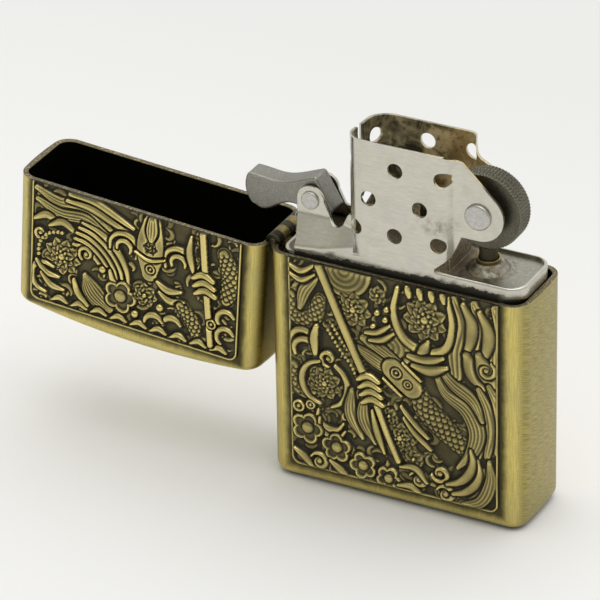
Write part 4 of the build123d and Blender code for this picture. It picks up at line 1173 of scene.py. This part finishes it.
def fibre_material(name, light, dark, scale, tint):
    s = Shader(name)
    wavy = s.noise(scale, detail=6.0, roughness=0.75, distortion=1.8)
    lump = s.noise(scale * 0.12, detail=4.0)
    colour = s.mix(s.remap(wavy, 0.35, 0.7), dark, light)
    colour = s.mix(s.remap(lump, 0.5, 0.75, 0.0, 0.5), colour, tint)
    return s.finish(colour, 0.0, 0.95, s.bump(wavy, 0.12, 0.8), Sheen_Weight=0.5)


def wick_material():
    """Cotton that is scorched brown and then black towards its end."""
    s = Shader("wick_cotton")
    _, _, z = s.split(s.place)
    tuft = s.noise(6.0, detail=6.0, roughness=0.75, distortion=1.0)
    colour = s.mix(s.remap(tuft, 0.35, 0.7), (0.36, 0.29, 0.18), (0.66, 0.58, 0.43))
    edge = s.total(z, s.swing(tuft, 3.0))
    colour = s.mix(s.remap(edge, 42.0, 44.2), colour, (0.16, 0.10, 0.05))
    colour = s.mix(s.remap(edge, 43.8, 45.2), colour, (0.012, 0.010, 0.009))
    return s.finish(colour, 0.0, 0.96, s.bump(tuft, 0.1, 0.8), Sheen_Weight=0.3)


def soft_pieces():
    wick(wick_material())
    cotton = fibre_material("cotton", (0.84, 0.82, 0.76), (0.60, 0.57, 0.50), 2.6, (0.70, 0.66, 0.55))
    for seed, spot in enumerate(("upper_left", "lower_left", "middle", "right")):
        soft_block(
            f"cotton_{spot}", f"cotton_ball_{spot}", 0.34, ((2.4, 1.0), (0.8, 0.45)), 1.1,
            700, 2.6, 21 + seed, cotton,
        )
    felt = fibre_material("felt", (0.40, 0.39, 0.37), (0.17, 0.165, 0.16), 3.4, (0.24, 0.22, 0.20))
    soft_block(
        "felt_pad", "felt_insert_pad", 0.26, ((1.1, 0.6), (0.45, 0.6)), 0.35,
        1400, 1.1, 31, felt,
    )


# ---- Stage -------------------------------------------------------------------
def lay_floor():
    """Plain pale floor, painted a little darker far off as shade."""
    bpy.ops.mesh.primitive_plane_add(size=FLOOR_SIZE, location=(0, 0, 0))
    floor = bpy.context.object
    floor.name = "floor"
    shader = Shader("floor_paper")
    away = shader.split(shader.place)[1]
    paper = shader.mix(shader.remap(away, *FLOOR_FADE), FLOOR_NEAR, FLOOR_FAR)
    floor.data.materials.append(shader.finish(paper, 0.0, 0.9))


def paint_sky():
    """Soft sky, brightest high up behind the object."""
    world = bpy.data.worlds.new("studio_sky")
    bpy.context.scene.world = world
    sky = Nodes(world)
    direction = sky.add("ShaderNodeTexCoord").outputs["Generated"]
    toward = sky.vector("DOT_PRODUCT", direction, Vector(SKY_TOWARD).normalized())
    colour = sky.mix(sky.remap(toward, *SKY_RANGE), SKY_LOW, SKY_HIGH)
    sky.feed(sky.tree.nodes["Background"].inputs["Color"], colour)


def hang_light():
    """One large soft light overhead."""
    data = bpy.data.lights.new("overhead", "AREA")
    data.shape = "RECTANGLE"
    data.size, data.size_y = LIGHT_SIZE
    data.energy = LIGHT_POWER
    lamp = bpy.data.objects.new("overhead", data)
    bpy.context.scene.collection.objects.link(lamp)
    lamp.location = LIGHT_PLACE
    lamp.rotation_euler = (Vector(LIGHT_AIM) - Vector(LIGHT_PLACE)).to_track_quat("-Z", "Y").to_euler()


def set_camera():
    """Camera at the photograph's viewing angle."""
    data = bpy.data.cameras.new("camera")
    data.lens = CAMERA_LENS
    data.sensor_width = CAMERA_SENSOR
    data.clip_start, data.clip_end = CAMERA_CLIP
    view = bpy.data.objects.new("camera", data)
    bpy.context.scene.collection.objects.link(view)
    azimuth, elevation, roll = (math.radians(a) for a in (CAMERA_AZIMUTH, CAMERA_ELEVATION, CAMERA_ROLL))
    back = Vector((
        math.sin(azimuth) * math.cos(elevation),
        -math.cos(azimuth) * math.cos(elevation),
        math.sin(elevation),
    ))
    right = (-back).cross(Vector((0, 0, 1))).normalized()
    up = right.cross(-back)
    right, up = (
        math.cos(roll) * right + math.sin(roll) * up,
        -math.sin(roll) * right + math.cos(roll) * up,
    )
    turn = Matrix((right, up, back)).transposed()
    view.matrix_world = Matrix.Translation(CAMERA_PLACE) @ turn.to_4x4()
    bpy.context.scene.camera = view


dress_metal()
plate_brass = relief_brass()
case_plate(plate_brass)
lid_plate(plate_brass)
soft_pieces()
lay_floor()
paint_sky()
hang_light()
set_camera()
bpy.context.scene.view_settings.view_transform = "Standard"
